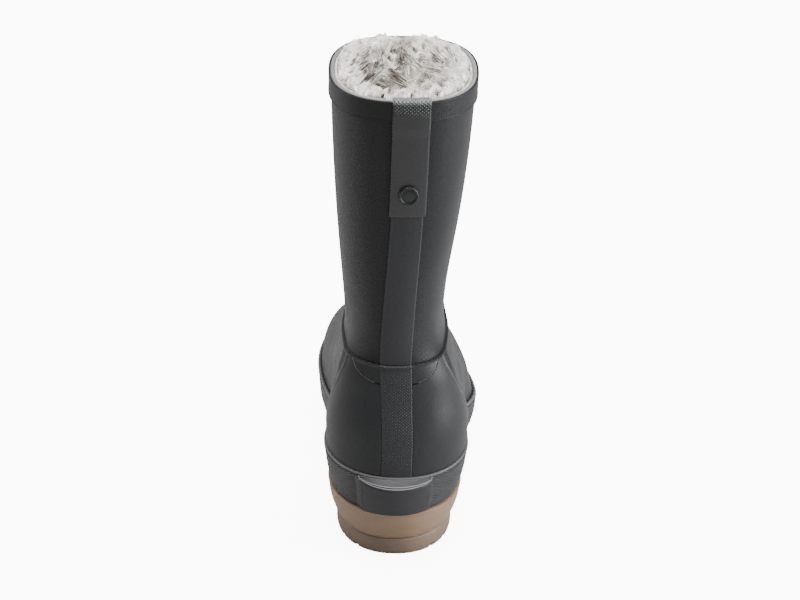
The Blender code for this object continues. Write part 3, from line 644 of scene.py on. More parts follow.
def make_upper():
    """The whole upper: foot, fold and shaft outside, a rounded rim, and the inner face."""
    levels = np.unique(np.concatenate([
        np.linspace(2.30, 6.80, 74), np.linspace(6.80, 7.25, 46), np.linspace(7.25, COLLAR_LEVEL, 62)]))
    rows = [FINE_TOP * share for share in np.linspace(0.0, 1.0, 9)]
    rows += [np.maximum(level, FINE_TOP + 0.004 * (i + 1)) for i, level in enumerate(levels)]
    outside = []
    for level in rows:
        spots = base(level, FINE_ANGLES)
        offset = fold_profile(level)
        offset = offset + crease_relief(spots) * (level > FINE_TOP + 0.2) * (level < COLLAR_LEVEL - 0.6)
        outside.append(face(level, FINE_ANGLES, offset))
    rim = []
    for turn in np.linspace(0.0, math.pi, 7)[1:-1]:
        ring = face(COLLAR_LEVEL, FINE_ANGLES, -WALL / 2 + WALL / 2 * math.cos(turn))
        ring[:, 2] += WALL / 2 * RIM_ROUND * math.sin(turn)
        rim.append(ring)
    inside = [face(level, FINE_ANGLES, -WALL) for level in np.linspace(COLLAR_LEVEL, 0.0, 26)]
    return ring_solid("boot_upper", outside + rim + inside, closed=True)


RIM_ROUND = 0.55


def make_foxing():
    """The band round the lower edge: heel piece, kick ledge across the heel and a bead on its top edge."""
    x = base(np.full(FINE_COLUMNS, 1.0), FINE_ANGLES)[:, 0]
    back = FINE_SHARES < HEEL_AT
    swell = np.where(back, np.clip(1.0 - np.abs(x) / LEDGE_HALF_WIDTH, 0.0, 1.0), 0.0)
    swell = LEDGE_DEPTH * (1.0 - (1.0 - swell) ** 2)
    heel_piece = HEEL_PIECE_STEP * ease((HEEL_PIECE_HALF - np.abs(x)) / 0.0012 + 0.5) * back
    level_rise = float(base(1.0, 0.0)[2] - base(0.0, 0.0)[2])
    bead = FOXING_BEAD_HEIGHT / level_rise
    drop = LEDGE_DROP / level_rise * (swell / LEDGE_DEPTH) ** 0.8
    shelf = FINE_TOP - bead - drop
    plain = FOXING_GAP + FOXING_THICKNESS
    bottom = GAP / level_rise
    rings = [face(np.full(FINE_COLUMNS, bottom), FINE_ANGLES, plain + swell * LEDGE_FOOT + heel_piece - 0.0005)]
    for share in np.linspace(0.03, 1.0, 16):
        taper = LEDGE_FOOT + (1.0 - LEDGE_FOOT) * share
        level = bottom + (shelf - bottom) * share
        lip = FOXING_BEAD * bell((share - 1.0) * 16.0, 0.9)
        rings.append(face(level, FINE_ANGLES, plain + swell * taper + heel_piece + lip))
    top_lift = FOXING_BEAD_HEIGHT * 0.8 / level_rise
    on_ledge = ease((swell - 0.0006) / 0.0012)
    ledge_rows = []
    for climb in np.linspace(0.0, 1.0, 22)[1:-1]:
        keep = 1.0 - climb**1.25
        lines = 0.00045 * (bell(climb - 0.10, 0.035) + bell(climb - 0.30, 0.035)) - 0.00035 * bell(climb - 0.20, 0.03)
        level = shelf + (FINE_TOP - shelf) * climb
        ledge_rows.append((len(rings), climb))
        rings.append(face(level, FINE_ANGLES, plain + FOXING_BEAD * 0.3 + swell * keep + lines * on_ledge))
    bead_row = len(rings)
    rings.append(face(FINE_TOP, FINE_ANGLES, plain + FOXING_BEAD))
    rings.append(face(FINE_TOP + top_lift * 0.6, FINE_ANGLES, plain + FOXING_BEAD * 0.6))
    rings.append(face(FINE_TOP + top_lift, FINE_ANGLES, plain * 0.5))
    rings.append(face(FINE_TOP + top_lift * 0.8, FINE_ANGLES, 0.00012))
    for share in (0.75, 0.5, 0.25):
        rings.append(face(FINE_TOP * share, FINE_ANGLES, 0.00012))
    rings.append(face(np.full(FINE_COLUMNS, bottom), FINE_ANGLES, 0.00012))
    foxing = ring_solid("boot_foxing", rings, closed=True)
    values = np.zeros((len(rings), FINE_COLUMNS))
    for row, climb in ledge_rows:
        values[row] = (0.2 + 0.8 * climb) * on_ledge
    # The top bead's rows carry negative values; the foxing's material paints a highlight there.
    values[bead_row - 1:bead_row + 2] = np.array([[-0.6], [-1.0], [-1.0]])
    grid = np.stack(rings)
    lay = np.stack([np.broadcast_to(measures(grid[5:6])[:, 0], grid.shape[:2]), grid[:, :, 2],
                    np.zeros(grid.shape[:2])], -1)
    foxing.data.attributes["lay"].data.foreach_set("vector", lay.astype(np.float32).ravel())
    layer = foxing.data.attributes.new("ledge", "FLOAT", "POINT")
    layer.data.foreach_set("value", values.astype(np.float32).ravel())
    return foxing


HEEL_PIECE_STEP = 0.00045
HEEL_PIECE_HALF = 0.0225


def fine_feather(offset, low, high, rise, lift=0.0):
    """A fine ring in plan at an offset from the feather edge, part of the way between two sole heights."""
    ring = face(np.zeros(FINE_COLUMNS), FINE_ANGLES, offset)
    heights = sole_heights(length_share(ring[:, 1]))
    ring[:, 2] = heights[low] + (heights[high] - heights[low]) * rise + lift
    return ring


SOLE_TUCK = 0.0020


def make_midsole():
    """The gum wall: a proud lip under the foxing, a rounded side and a slightly wavy trimmed top."""
    rim = FOXING_THICKNESS + FOXING_GAP + MIDSOLE_LIP - SOLE_TUCK * ease((FINE_SHARES - 0.22) / 0.16)
    wave = 0.00018 * np.sin(FINE_ANGLES * 17.0) + 0.00012 * np.sin(FINE_ANGLES * 41.0 + 1.3)
    rings = [fine_feather(rim - MIDSOLE_TAPER - 0.0012, JOINT, TOP, 0.0)]
    for rise in np.linspace(0.02, 0.90, 18):
        inward = max(0.0, 1.0 - rise / 0.80) ** 1.7
        rings.append(fine_feather(rim - MIDSOLE_TAPER * inward - 0.0004, JOINT, TOP, rise))
    for turn in np.linspace(0.0, 1.0, 7):
        out = 0.0004 * math.sin(math.pi * turn)
        back = 0.0009 * turn**3
        rings.append(fine_feather(rim + out - back + wave * turn, JOINT, TOP, 0.92 + 0.08 * turn, -GAP / 2 * turn))
    rings.append(fine_feather(-WALL, JOINT, TOP, 1.0, -GAP / 2))
    return ring_solid("boot_midsole", rings, closed=False)


def make_outsole():
    """The tread unit with its grooves cut, its side slightly rounded at the floor."""
    side = FOXING_THICKNESS + FOXING_GAP + MIDSOLE_LIP - MIDSOLE_TAPER - TREAD_INSET
    side = side - SOLE_TUCK * ease((FINE_SHARES - 0.22) / 0.16)
    rings = [fine_feather(side - TREAD_ROUND * 1.6, GROUND, JOINT, 0.0)]
    for turn in np.linspace(0.15, 1.0, 6):
        out = TREAD_ROUND * (1.0 - math.sin(turn * math.pi / 2))
        rings.append(fine_feather(side - out, GROUND, JOINT, 0.16 * (1.0 - math.cos(turn * math.pi / 2))))
    for rise in np.linspace(0.22, 0.90, 8):
        rings.append(fine_feather(side + 0.00025 * math.sin(math.pi * rise), GROUND, JOINT, rise))
    rings.append(fine_feather(side - TREAD_ROUND / 3, GROUND, JOINT, 0.97))
    rings.append(fine_feather(side - TREAD_ROUND, GROUND, JOINT, 1.0))
    outsole = ring_solid("boot_outsole", rings, closed=False)
    cutter = groove_cutter()
    cut = outsole.modifiers.new("grooves", "BOOLEAN")
    cut.operation = "DIFFERENCE"
    cut.solver = "EXACT"
    cut.object = cutter
    made = bpy.data.meshes.new_from_object(outsole.evaluated_get(bpy.context.evaluated_depsgraph_get()))
    outsole.modifiers.clear()
    outsole.data = made
    bpy.data.objects.remove(cutter, do_unlink=True)
    return sharpen(outsole, 40.0)


def groove_cutter():
    """The slanted channels across heel and forefoot, as one cutter."""
    shape = bmesh.new()
    for start, stop in TREAD_RUNS:
        count = int((stop - start) * UPPER_LENGTH / GROOVE_PITCH)
        for i in range(count + 1):
            y = HEEL_INSET + start * UPPER_LENGTH + i * GROOVE_PITCH
            floor = float(sole_heights(length_share(y))[GROUND])
            for side in (-1.0, 1.0):
                for vert in bmesh.ops.create_cube(shape, size=1.0)["verts"]:
                    along_x = CENTRE_RIB / 2 if vert.co.x < 0 else BALL_WIDTH
                    depth = floor + GROOVE_DEPTH if vert.co.z > 0 else floor - GROOVE_DEPTH * 3
                    slant = GROOVE_SLANT * along_x / (BALL_WIDTH / 2)
                    place = np.array([side * along_x, y + vert.co.y * GROOVE_WIDTH + slant, depth])
                    vert.co = place + SHIFT
    bmesh.ops.recalc_face_normals(shape, faces=shape.faces)
    mesh = bpy.data.meshes.new("grooves")
    shape.to_mesh(mesh)
    shape.free()
    cutter = bpy.data.objects.new("grooves", mesh)
    bpy.context.scene.collection.objects.link(cutter)
    return cutter


def rounded_edge(distance, radius):
    """Height share of a moulded sheet at a distance from its edge: a quarter round, then flat."""
    t = np.clip(distance / radius, 0.0, 1.0)
    return np.sqrt(1.0 - (1.0 - t) ** 2)


def sheet(name, levels, ends, thickness, columns, gap=0.00010, round_by=0.0012, bead=None, low_edge=True, near_edge=True):
    """An overlay lying on the upper between two angles at each level, with rounded edges and a closed back."""
    outer, inner = [], []
    top_grid = []
    for level in levels:
        first, last = ends(level)
        spread = 0.5 - 0.5 * np.cos(np.linspace(0.0, math.pi, columns))
        spread = spread * 0.35 + np.linspace(0.0, 1.0, columns) * 0.65
        angles = first + (last - first) * spread
        top_grid.append(base(np.full(columns, level), angles))
        outer.append(angles)
    grid = np.stack(top_grid)
    across = np.concatenate([np.zeros((len(grid), 1)), np.cumsum(np.linalg.norm(np.diff(grid, axis=1), axis=2), 1)], 1)
    up = np.concatenate([np.zeros((1, columns)), np.cumsum(np.linalg.norm(np.diff(grid, axis=0), axis=2), 0)])
    sideways = np.minimum(across, across[:, -1:] - across) if near_edge else across[:, -1:] - across
    endways = np.minimum(up, up[-1:] - up) if low_edge else up[-1:] - up
    height = rounded_edge(np.minimum(sideways, endways), round_by)
    points, backs = [], []
    light = np.zeros_like(across)
    for i, level in enumerate(levels):
        angles = outer[i]
        step = fold_profile(np.full(columns, level)) + crease_relief(grid[i])
        raised = thickness * height[i]
        # The bead's shape is kept in light and stored as the edge attribute, which the rubber material paints as a
        # highlight.
        if bead is not None:
            ridge = bead(across[i], across[i, -1] - across[i], up[i]) * height[i]
            light[i] = ridge / max(ridge.max(), 1e-7)
            raised = raised + ridge
        points.append(face(np.full(columns, level), angles, step + gap + raised))
        backs.append(face(np.full(columns, level), angles, step + gap * 0.5))
    loops = np.stack([np.concatenate([a, b[::-1]]) for a, b in zip(points, backs)])
    lay_up = np.concatenate([up, up[:, ::-1]], 1)
    lay_across = np.concatenate([across, across[:, ::-1]], 1) - across.max() / 2
    lay = np.stack([lay_across, lay_up, np.zeros_like(lay_up)], -1).reshape(-1, 3)
    faces = grid_faces(*loops.shape[:2], True, False)
    edge = np.concatenate([light, np.zeros_like(light)], 1).ravel()
    obj = finish_mesh(name, loops.reshape(-1, 3), faces, lay, {"edge": edge})
    close_ends(obj, loops.shape[0], loops.shape[1])
    return outward_faces(obj)


def close_ends(obj, rows, count):
    """Fills the first and last loop of a strip with a row of quads."""
    shape = bmesh.new()
    shape.from_mesh(obj.data)
    shape.verts.ensure_lookup_table()
    for row in (0, rows - 1):
        start = row * count
        for k in range(count // 2 - 1):
            corners = [shape.verts[start + i] for i in (k, k + 1, count - 2 - k, count - 1 - k)]
            if shape.faces.get(corners) is None:
                shape.faces.new(corners)
    for f in shape.faces:
        f.smooth = True
    shape.to_mesh(obj.data)
    shape.free()


def strap_ends(level):
    middle = strap_centre(level)
    pair = np.array([middle - STRAP_WIDTH / 2, middle + STRAP_WIDTH / 2])
    return angle_at(level, pair)


def make_back_strap():
    """The spine strip, with a fine raised line along both edges, lightened by a painted highlight."""
    levels = np.unique(np.concatenate([
        np.linspace(FINE_TOP[0] + 0.06, 6.8, 90), np.linspace(6.8, 7.25, 40), np.linspace(7.25, BAND_LEVEL - 0.02, 90)]))

    def bead(left, right, _):
        return 0.00018 * (0.25 * bell(left - 0.0009, 0.0003) + bell(right - 0.0009, 0.0003))

    return sheet("boot_back_strap", levels, strap_ends, STRAP_THICKNESS, 34, round_by=0.0005, bead=bead,
                 low_edge=False)


TUCK = 0.0008


def counter_ends(side):
    def ends(level):
        if level <= PATCH_LEVEL:
            near = strap_edge(level, side) - side * TUCK
        else:
            near = side * (patch_reach(max(level, PATCH_RANGE[0])) + GAP / 3)
        start, tip = np.abs(angle_at(level, np.array([near, near + side * COUNTER_TIP])))
        reach = max(tip, math.acos(1.0 - 2.0 * along(COUNTER_REACH, 1, level)))
        return side * start, side * reach
    return ends


def make_heel_counter(side):
    """Half of the heel counter, its front edge raised as a soft bead with a painted highlight."""
    levels = np.unique(np.concatenate([
        np.linspace(FINE_TOP[0] + 0.05, PATCH_LEVEL, 60), np.linspace(PATCH_LEVEL, UNDER_FOLD - 0.03, 36)]))

    def bead(_, front, __):
        return COUNTER_BEAD * bell(front - 0.0014, 0.0005)

    name = "boot_heel_counter_outer" if side > 0 else "boot_heel_counter_inner"
    return sheet(name, levels, counter_ends(side), COUNTER_THICKNESS, 40, round_by=0.0008, bead=bead,
                 low_edge=False, near_edge=False)


def make_ankle_patch(side):
    """Half of the V under the fold, with a raised rim lightened by a painted highlight, and a dark line round it."""
    levels = np.linspace(PATCH_RANGE[0] + 0.02, UNDER_FOLD - 0.04, 40)

    def ends(level):
        return tuple(angle_at(level, np.array([strap_edge(level, side) - side * TUCK, side * (patch_reach(level) - GAP / 3)])))

    def bead(_, front, up):
        return 0.00035 * bell(front - 0.0010, 0.0004)

    name = "boot_ankle_patch_outer" if side > 0 else "boot_ankle_patch_inner"
    return sheet(name, levels, ends, PATCH_THICKNESS + 0.0003, 22, round_by=0.0005, bead=bead,
                 near_edge=False)


def make_collar_band():
    """The raised cuff round the collar, its lower edge a thin rolled line."""
    rings = []
    for share in np.linspace(0.0, 1.0, 22):
        level = BAND_LEVEL + (COLLAR_LEVEL - BAND_LEVEL) * share
        drop = 0.00030 * bell(share - 0.06, 0.03) - 0.00012 * bell(share - 0.14, 0.04)
        low_round = rounded_edge(share * BAND_HEIGHT, 0.0007)
        rings.append(face(level, FINE_ANGLES, BAND_THICKNESS * (1.0 - 0.15 * share) * low_round + drop + 0.0001))
    for turn in np.linspace(0.0, math.pi / 2, 5)[1:]:
        ring = face(COLLAR_LEVEL, FINE_ANGLES, BAND_THICKNESS * 0.85 * math.cos(turn) * 0.7 + BAND_THICKNESS * 0.255)
        ring[:, 2] += 0.0006 * math.sin(turn)
        rings.append(ring)
    for share in np.linspace(1.0, 0.0, 5):
        level = BAND_LEVEL + (COLLAR_LEVEL - BAND_LEVEL) * share
        rings.append(face(level, FINE_ANGLES, 0.00006))
    return ring_solid("boot_collar_band", rings, closed=True)


def make_pull_tab():
    """The folded strip: up from below the button, over the collar's rim and a little way down inside."""
    columns = 30
    half = TAB_WIDTH / 2
    spread = np.linspace(-1.0, 1.0, columns)
    outer, inner, lengths = [], [], []

    def angles_for(level, width):
        return angle_at(level, strap_centre(level) + spread * width)

    def add(level, low, high, lift_low=0.0, lift_high=0.0, width=half):
        angles = angles_for(level, width)
        over = face(np.full(columns, level), angles, high)
        under = face(np.full(columns, level), angles, low)
        over[:, 2] += lift_high
        under[:, 2] += lift_low
        outer.append(over)
        inner.append(under)

    climb = np.linspace(TAB_LEVEL, COLLAR_LEVEL, 96)
    for i, level in enumerate(climb):
        along_it = (level - TAB_LEVEL) / (COLLAR_LEVEL - TAB_LEVEL)
        seat = TAB_SEAT + (TAB_CLEAR - TAB_SEAT) * ease((level - BAND_LEVEL + 0.22) / 0.18)
        end = rounded_edge(i * 0.0008, 0.0010)
        width = half * (0.965 + 0.035 * along_it)
        add(level, seat - 0.0002, seat + TAB_THICKNESS * end, width=width)
    mid = (TAB_CLEAR - WALL - GAP) / 2
    bend = (TAB_CLEAR + WALL + GAP) / 2
    for turn in np.linspace(0.0, 1.0, 15)[1:-1]:
        swing = math.pi * turn
        high, low = bend + TAB_THICKNESS, bend
        add(COLLAR_LEVEL, mid + low * math.cos(swing), mid + high * math.cos(swing),
            low * math.sin(swing) * TAB_BEND_FLATTEN + GAP, high * math.sin(swing) * TAB_BEND_FLATTEN + GAP)
    for level in np.linspace(COLLAR_LEVEL, level_at(BOOT_HEIGHT - TAB_INSIDE_DROP), 10):
        add(level, -WALL - GAP, -WALL - GAP - TAB_THICKNESS)
    over, under = np.stack(outer), np.stack(inner)
    thick = rounded_edge((1.0 - np.abs(spread)) * half, 0.0007)[None, :, None]
    over = under + (over - under) * (0.25 + 0.75 * thick)
    loops = np.concatenate([over, under[:, ::-1]], 1)
    steps = np.linalg.norm(np.diff(over[:, columns // 2], axis=0), axis=1)
    up = np.concatenate([[0.0], np.cumsum(steps)])
    lay_up = np.repeat(up[:, None], 2 * columns, 1)
    lay_across = np.concatenate([spread, spread[::-1]])[None, :] * half * np.ones((len(up), 1))
    lay = np.stack([lay_across, lay_up, np.zeros_like(lay_up)], -1).reshape(-1, 3)
    obj = finish_mesh("boot_pull_tab", loops.reshape(-1, 3), grid_faces(*loops.shape[:2], True, False), lay)
    close_ends(obj, *loops.shape[:2])
    return outward_faces(obj)


TAB_SEAT = STRAP_THICKNESS + 0.0002


def make_button():
    """The stud: a raised rim, a shallow groove and a plain domed middle."""
    radius = BUTTON_DIAMETER / 2
    profile = [
        (0.0, BUTTON_HEIGHT - BUTTON_DISH + 0.0004), (radius * 0.25, BUTTON_HEIGHT - BUTTON_DISH + 0.00036),
        (radius * 0.50, BUTTON_HEIGHT - BUTTON_DISH + 0.0002), (radius * 0.66, BUTTON_HEIGHT - BUTTON_DISH),
        (radius * 0.71, BUTTON_HEIGHT - BUTTON_DISH - 0.0001), (radius * 0.76, BUTTON_HEIGHT - BUTTON_DISH * 0.3),
        (radius * 0.82, BUTTON_HEIGHT), (radius * 0.90, BUTTON_HEIGHT - 0.00005), (radius * 0.965, BUTTON_HEIGHT * 0.84),
        (radius, BUTTON_HEIGHT * 0.55), (radius * 1.0, BUTTON_HEIGHT * 0.15), (radius * 0.97, -0.0003),
    ]
    turns = np.arange(72) * 2.0 * math.pi / 72
    level = level_at(BOOT_HEIGHT - BUTTON_DROP)
    angle = float(angle_at(level, strap_centre(level)))
    spot = face(level, angle, TAB_SEAT + TAB_THICKNESS + 0.0001)
    normal = outward(np.array([level]), np.array([angle]))[0]
    across = np.cross([0.0, 0.0, 1.0], normal)
    across = across / np.linalg.norm(across)
    upward = np.cross(normal, across)
    rings = []
    for reach, height in profile[1:]:
        rings.append(spot + reach * (np.cos(turns)[:, None] * across + np.sin(turns)[:, None] * upward)
                     + height * normal)
    grid = np.stack(rings)
    obj = finish_mesh("boot_button", grid.reshape(-1, 3), grid_faces(*grid.shape[:2], True, False),
                      np.zeros((grid.size // 3, 3)))
    shape = bmesh.new()
    shape.from_mesh(obj.data)
    edges = [edge for edge in shape.edges if edge.is_boundary]
    made = bmesh.ops.holes_fill(shape, edges=edges, sides=0)["faces"]
    bmesh.ops.poke(shape, faces=made)
    bmesh.ops.recalc_face_normals(shape, faces=shape.faces)
    for f in shape.faces:
        f.smooth = True
    shape.to_mesh(obj.data)
    shape.free()
    return obj


def make_insole():
    inward = -WALL - 2 * GAP
    rings = [
        fine_feather(inward, TOP, TOP, 0.0, 0.0001),
        fine_feather(inward, TOP, TOP, 0.0, INSOLE_THICKNESS * 0.75),
        fine_feather(inward - 0.0004, TOP, TOP, 0.0, INSOLE_THICKNESS * 0.92),
        fine_feather(inward - 0.0014, TOP, TOP, 0.0, INSOLE_THICKNESS),
        fine_feather(inward - 0.0040, TOP, TOP, 0.0, INSOLE_THICKNESS),
    ]
    return ring_solid("boot_insole", rings, closed=False)


def make_lining():
    """The knit under the pile: a sleeve with a soft, uneven inner face."""
    offset = -WALL - GAP
    levels = np.linspace(LINING_LEVEL, COLLAR_LEVEL, 40)
    outside = [face(level, FINE_ANGLES, offset) for level in levels]
    inside = []
    for level in levels[::-1]:
        lump = 0.0009 * (np.sin(FINE_ANGLES * 23.0 + level * 9.0) + np.sin(FINE_ANGLES * 37.0 - level * 14.0))
        deep = 0.0015 + (LINING_THICKNESS - 0.0015) * ease((COLLAR_LEVEL - level) / 0.5)
        inside.append(face(level, FINE_ANGLES, offset - deep - lump * ease((COLLAR_LEVEL - level) / 0.4)))
    return ring_solid("boot_lining", outside + inside, closed=True)


# Fur: tufts of tapered strands rooted inside the collar
FUR_SEED = 11
FUR_LEVELS = (10.25, 11.99)
TUFT_COUNT = 1700
STRAND_LENGTH = 0.0150
DEEP_LENGTH = 0.0140
STRAND_WIDTH = 0.00062
STRAND_STEPS = 4
WALL_CLEAR = 0.0010
LOCK_RADIUS = 0.0022


def fur_roots(dice, count):
    """Roots on the lining's inner face: level, angle, place and inward direction."""
    low, high = FUR_LEVELS
    level = high - (high - low) * dice.random(count) ** 1.25
    angle = dice.uniform(0.0, 2.0 * math.pi, count)
    top = ease((level - high + 0.10) / 0.08)
    place = face(level, angle, -WALL - GAP - 0.0022 + 0.0016 * top - 0.0040 * dice.random(count) * top)
    inward = -outward(level, angle)
    return level, angle, place, inward


def wall_outlines():
    """The lining's outline at heights down the shaft: height, middle, and reach by direction."""
    outlines = []
    for level in np.linspace(9.2, COLLAR_LEVEL, 16):
        ring = face(level, FINE_ANGLES, -WALL - GAP - WALL_CLEAR)
        middle = ring[:, :2].mean(0)
        away = ring[:, :2] - middle
        turn = np.arctan2(away[:, 1], away[:, 0])
        order = np.argsort(turn)
        outlines.append((ring[:, 2].mean(), middle, turn[order], np.linalg.norm(away, axis=1)[order]))
    return outlines


def keep_inside(spots, outlines):
    """Moves points that would pass through the wall back to just inside it."""
    heights = np.array([outline[0] for outline in outlines])
    nearest = np.abs(spots[:, 2:3] - heights[None]).argmin(1)
    moved = spots.copy()
    for k, (_, middle, turn, reach) in enumerate(outlines):
        mine = nearest == k
        away = spots[mine, :2] - middle
        far = np.maximum(np.linalg.norm(away, axis=1), 1e-6)
        most = np.interp(np.arctan2(away[:, 1], away[:, 0]), turn, reach, period=2.0 * math.pi)
        moved[mine, :2] = middle + away * np.minimum(1.0, most / far)[:, None]
    return moved


def make_fur(part, dice, tufts):
    """One joined mesh of strands. Each strand leans towards the tip of its tuft."""
    count = STRANDS_PER_PIECE
    level, angle, place, inward = fur_roots(dice, count)
    finder = KDTree(TUFT_COUNT)
    for k, spot in enumerate(tufts["place"]):
        finder.insert(spot, k)
    finder.balance()
    nearest = np.array([finder.find(spot)[1] for spot in place])
    height = (level - FUR_LEVELS[0]) / (FUR_LEVELS[1] - FUR_LEVELS[0])
    length = STRAND_LENGTH + DEEP_LENGTH * (1.0 - height)
    length = length * dice.uniform(0.82, 1.05, count) * tufts["length"][nearest]
    length = length * (1.0 - 0.30 * ease((height - 0.75) / 0.25))
    lean = tufts["lean"][nearest] + dice.normal(0.0, 0.06, (count, 3))
    direction = inward * (0.72 - 0.30 * height)[:, None] + lean
    direction[:, 2] += 0.30 + 0.45 * height
    short = np.maximum(0.0, 0.14 - (direction * inward).sum(1))
    direction = direction + inward * short[:, None]
    direction /= np.linalg.norm(direction, axis=1, keepdims=True)
    gather = tufts["place"][nearest] - place
    from_middle = np.linalg.norm(gather, axis=1) / LOCK_RADIUS + dice.normal(0.0, 0.10, count)
    gather *= np.minimum(1.0, 0.0036 / np.maximum(np.linalg.norm(gather, axis=1), 1e-6))[:, None]
    gather *= dice.uniform(0.90, 1.0, count)[:, None]
    curl = tufts["curl"][nearest] + dice.normal(0.0, 0.10, (count, 3))
    curl = curl + inward * np.maximum(0.0, -(curl * inward).sum(1))[:, None]
    across = np.cross(direction, dice.normal(0.0, 1.0, (count, 3)))
    across /= np.linalg.norm(across, axis=1, keepdims=True)
    width = STRAND_WIDTH * dice.uniform(0.7, 1.4, count)
    walls = wall_outlines()
    rows, tips = [], []
    for step in range(STRAND_STEPS + 1):
        t = step / STRAND_STEPS
        spot = place + direction * (length * t)[:, None] + gather * t**1.1
        spot = spot + curl * (length * t * t * 0.55)[:, None]
        spot = keep_inside(spot, walls)
        spot[:, 2] = np.minimum(spot[:, 2], BOOT_HEIGHT + FUR_PROUD * (0.4 + 0.6 * dice.random(count)))
        keep = np.clip(1.0 - t, 0.0, 1.0) ** 0.6
        if step < STRAND_STEPS:
            rows.append(spot - across * (width * keep / 2)[:, None])
            rows.append(spot + across * (width * keep / 2)[:, None])
            tips += [t, t]
        else:
            rows.append(spot)
            tips.append(1.0)
    points = np.stack(rows, 1)
    per = points.shape[1]
    start = np.arange(count)[:, None] * per
    pattern = []
    for step in range(STRAND_STEPS - 1):
        a = step * 2
        pattern += [(a, a + 1, a + 3), (a, a + 3, a + 2)]
    pattern.append((per - 3, per - 2, per - 1))
    faces = (start[:, :, None] + np.array(pattern)[None]).reshape(-1, 3)
    extra = {
        "tip": np.tile(tips, count),
        "tone": np.repeat(np.clip(tufts["tone"][nearest] + dice.normal(0.0, 0.12, count), 0.0, 1.0), per),
        "depth": np.repeat(height, per),
        "off_tuft_middle": np.repeat(from_middle, per),
    }
    return finish_mesh("boot_fur_%d" % (part + 1), points.reshape(-1, 3), faces, None, extra)


FUR_PROUD = 0.0055


def make_tufts(dice):
    level, angle, place, inward = fur_roots(dice, TUFT_COUNT)
    lean = dice.normal(0.0, 0.50, (TUFT_COUNT, 3))
    return {
        "place": place,
        "lean": lean,
        "curl": dice.normal(0.0, 0.55, (TUFT_COUNT, 3)),
        "length": dice.uniform(0.75, 1.20, TUFT_COUNT),
        "tone": dice.random(TUFT_COUNT),
    }


# Node groups shared by the finishes
def new_group(name, inputs, outputs):
    """A shader node group with named inputs (name, value) and outputs (name, kind)."""
    group = bpy.data.node_groups.new(name, "ShaderNodeTree")
    for label, value in inputs:
        kind = "NodeSocketColor" if isinstance(value, tuple) else "NodeSocketFloat"
        socket = group.interface.new_socket(name=label, in_out="INPUT", socket_type=kind)
        socket.default_value = value
    for label, kind in outputs:
        group.interface.new_socket(name=label, in_out="OUTPUT", socket_type=kind)
    return group, group.nodes.new("NodeGroupInput"), group.nodes.new("NodeGroupOutput")


def math_node(tree, operation, first, second=None, clamp=False):
    """A Math node between sockets or numbers; gives its output socket."""
    node = tree.nodes.new("ShaderNodeMath")
    node.operation = operation
    node.use_clamp = clamp
    for slot_at, value in enumerate((first, second)):
        if value is None:
            continue
        if isinstance(value, (int, float)):
            node.inputs[slot_at].default_value = value
        else:
            tree.links.new(value, node.inputs[slot_at])
    return node.outputs[0]


def noise_node(tree, vector, scale, detail=3.0, roughness=0.5):
    node = tree.nodes.new("ShaderNodeTexNoise")
    node.inputs["Detail"].default_value = detail
    node.inputs["Roughness"].default_value = roughness
    if isinstance(scale, (int, float)):
        node.inputs["Scale"].default_value = scale
    else:
        tree.links.new(scale, node.inputs["Scale"])
    if vector is not None:
        tree.links.new(vector, node.inputs["Vector"])
    return node.outputs["Fac"]


def object_place(tree):
    return tree.nodes.new("ShaderNodeTexCoord").outputs["Object"]


def lay_parts(tree):
    """The metres round and up the surface that each piece keeps."""
    node = tree.nodes.new("ShaderNodeAttribute")
    node.attribute_name = "lay"
    parts = tree.nodes.new("ShaderNodeSeparateXYZ")
    tree.links.new(node.outputs["Vector"], parts.inputs["Vector"])
    return parts.outputs["X"], parts.outputs["Y"]


def smooth_range(tree, value, low, high):
    node = tree.nodes.new("ShaderNodeMapRange")
    node.interpolation_type = "SMOOTHSTEP"
    node.inputs["From Min"].default_value = low
    node.inputs["From Max"].default_value = high
    tree.links.new(value, node.inputs["Value"])
    return node.outputs["Result"]


def mix_colour(tree, mask, first, second, blend="MIX"):
    node = tree.nodes.new("ShaderNodeMix")
    node.data_type = "RGBA"
    node.blend_type = blend
    for name, value in (("Factor", mask), ("A", first), ("B", second)):
        sockets = [s for s in node.inputs if s.name == name and (s.type == "RGBA") == (name != "Factor")]
        socket = [s for s in sockets if s.enabled][0]
        if isinstance(value, (int, float)):
            socket.default_value = value
        elif isinstance(value, tuple):
            socket.default_value = (*value, 1.0)
        else:
            tree.links.new(value, socket)
    return [s for s in node.outputs if s.type == "RGBA"][0]


def rubber_grain_group():
    """Fine pebble and a slow mottle of moulded rubber."""
    group, given, put = new_group(
        "rubber_grain", [("Pebble Scale", 2600.0), ("Mottle Scale", 22.0)],
        [("Height", "NodeSocketFloat"), ("Mottle", "NodeSocketFloat")])
    place = object_place(group)
    fine = noise_node(group, place, given.outputs["Pebble Scale"], 2.0, 0.6)
    wide = noise_node(group, place, 420.0, 2.0, 0.5)
    total = math_node(group, "ADD", math_node(group, "MULTIPLY", fine, 0.65), math_node(group, "MULTIPLY", wide, 0.35))
    group.links.new(total, put.inputs["Height"])
    group.links.new(noise_node(group, place, given.outputs["Mottle Scale"], 4.0, 0.55), put.inputs["Mottle"])
    return group


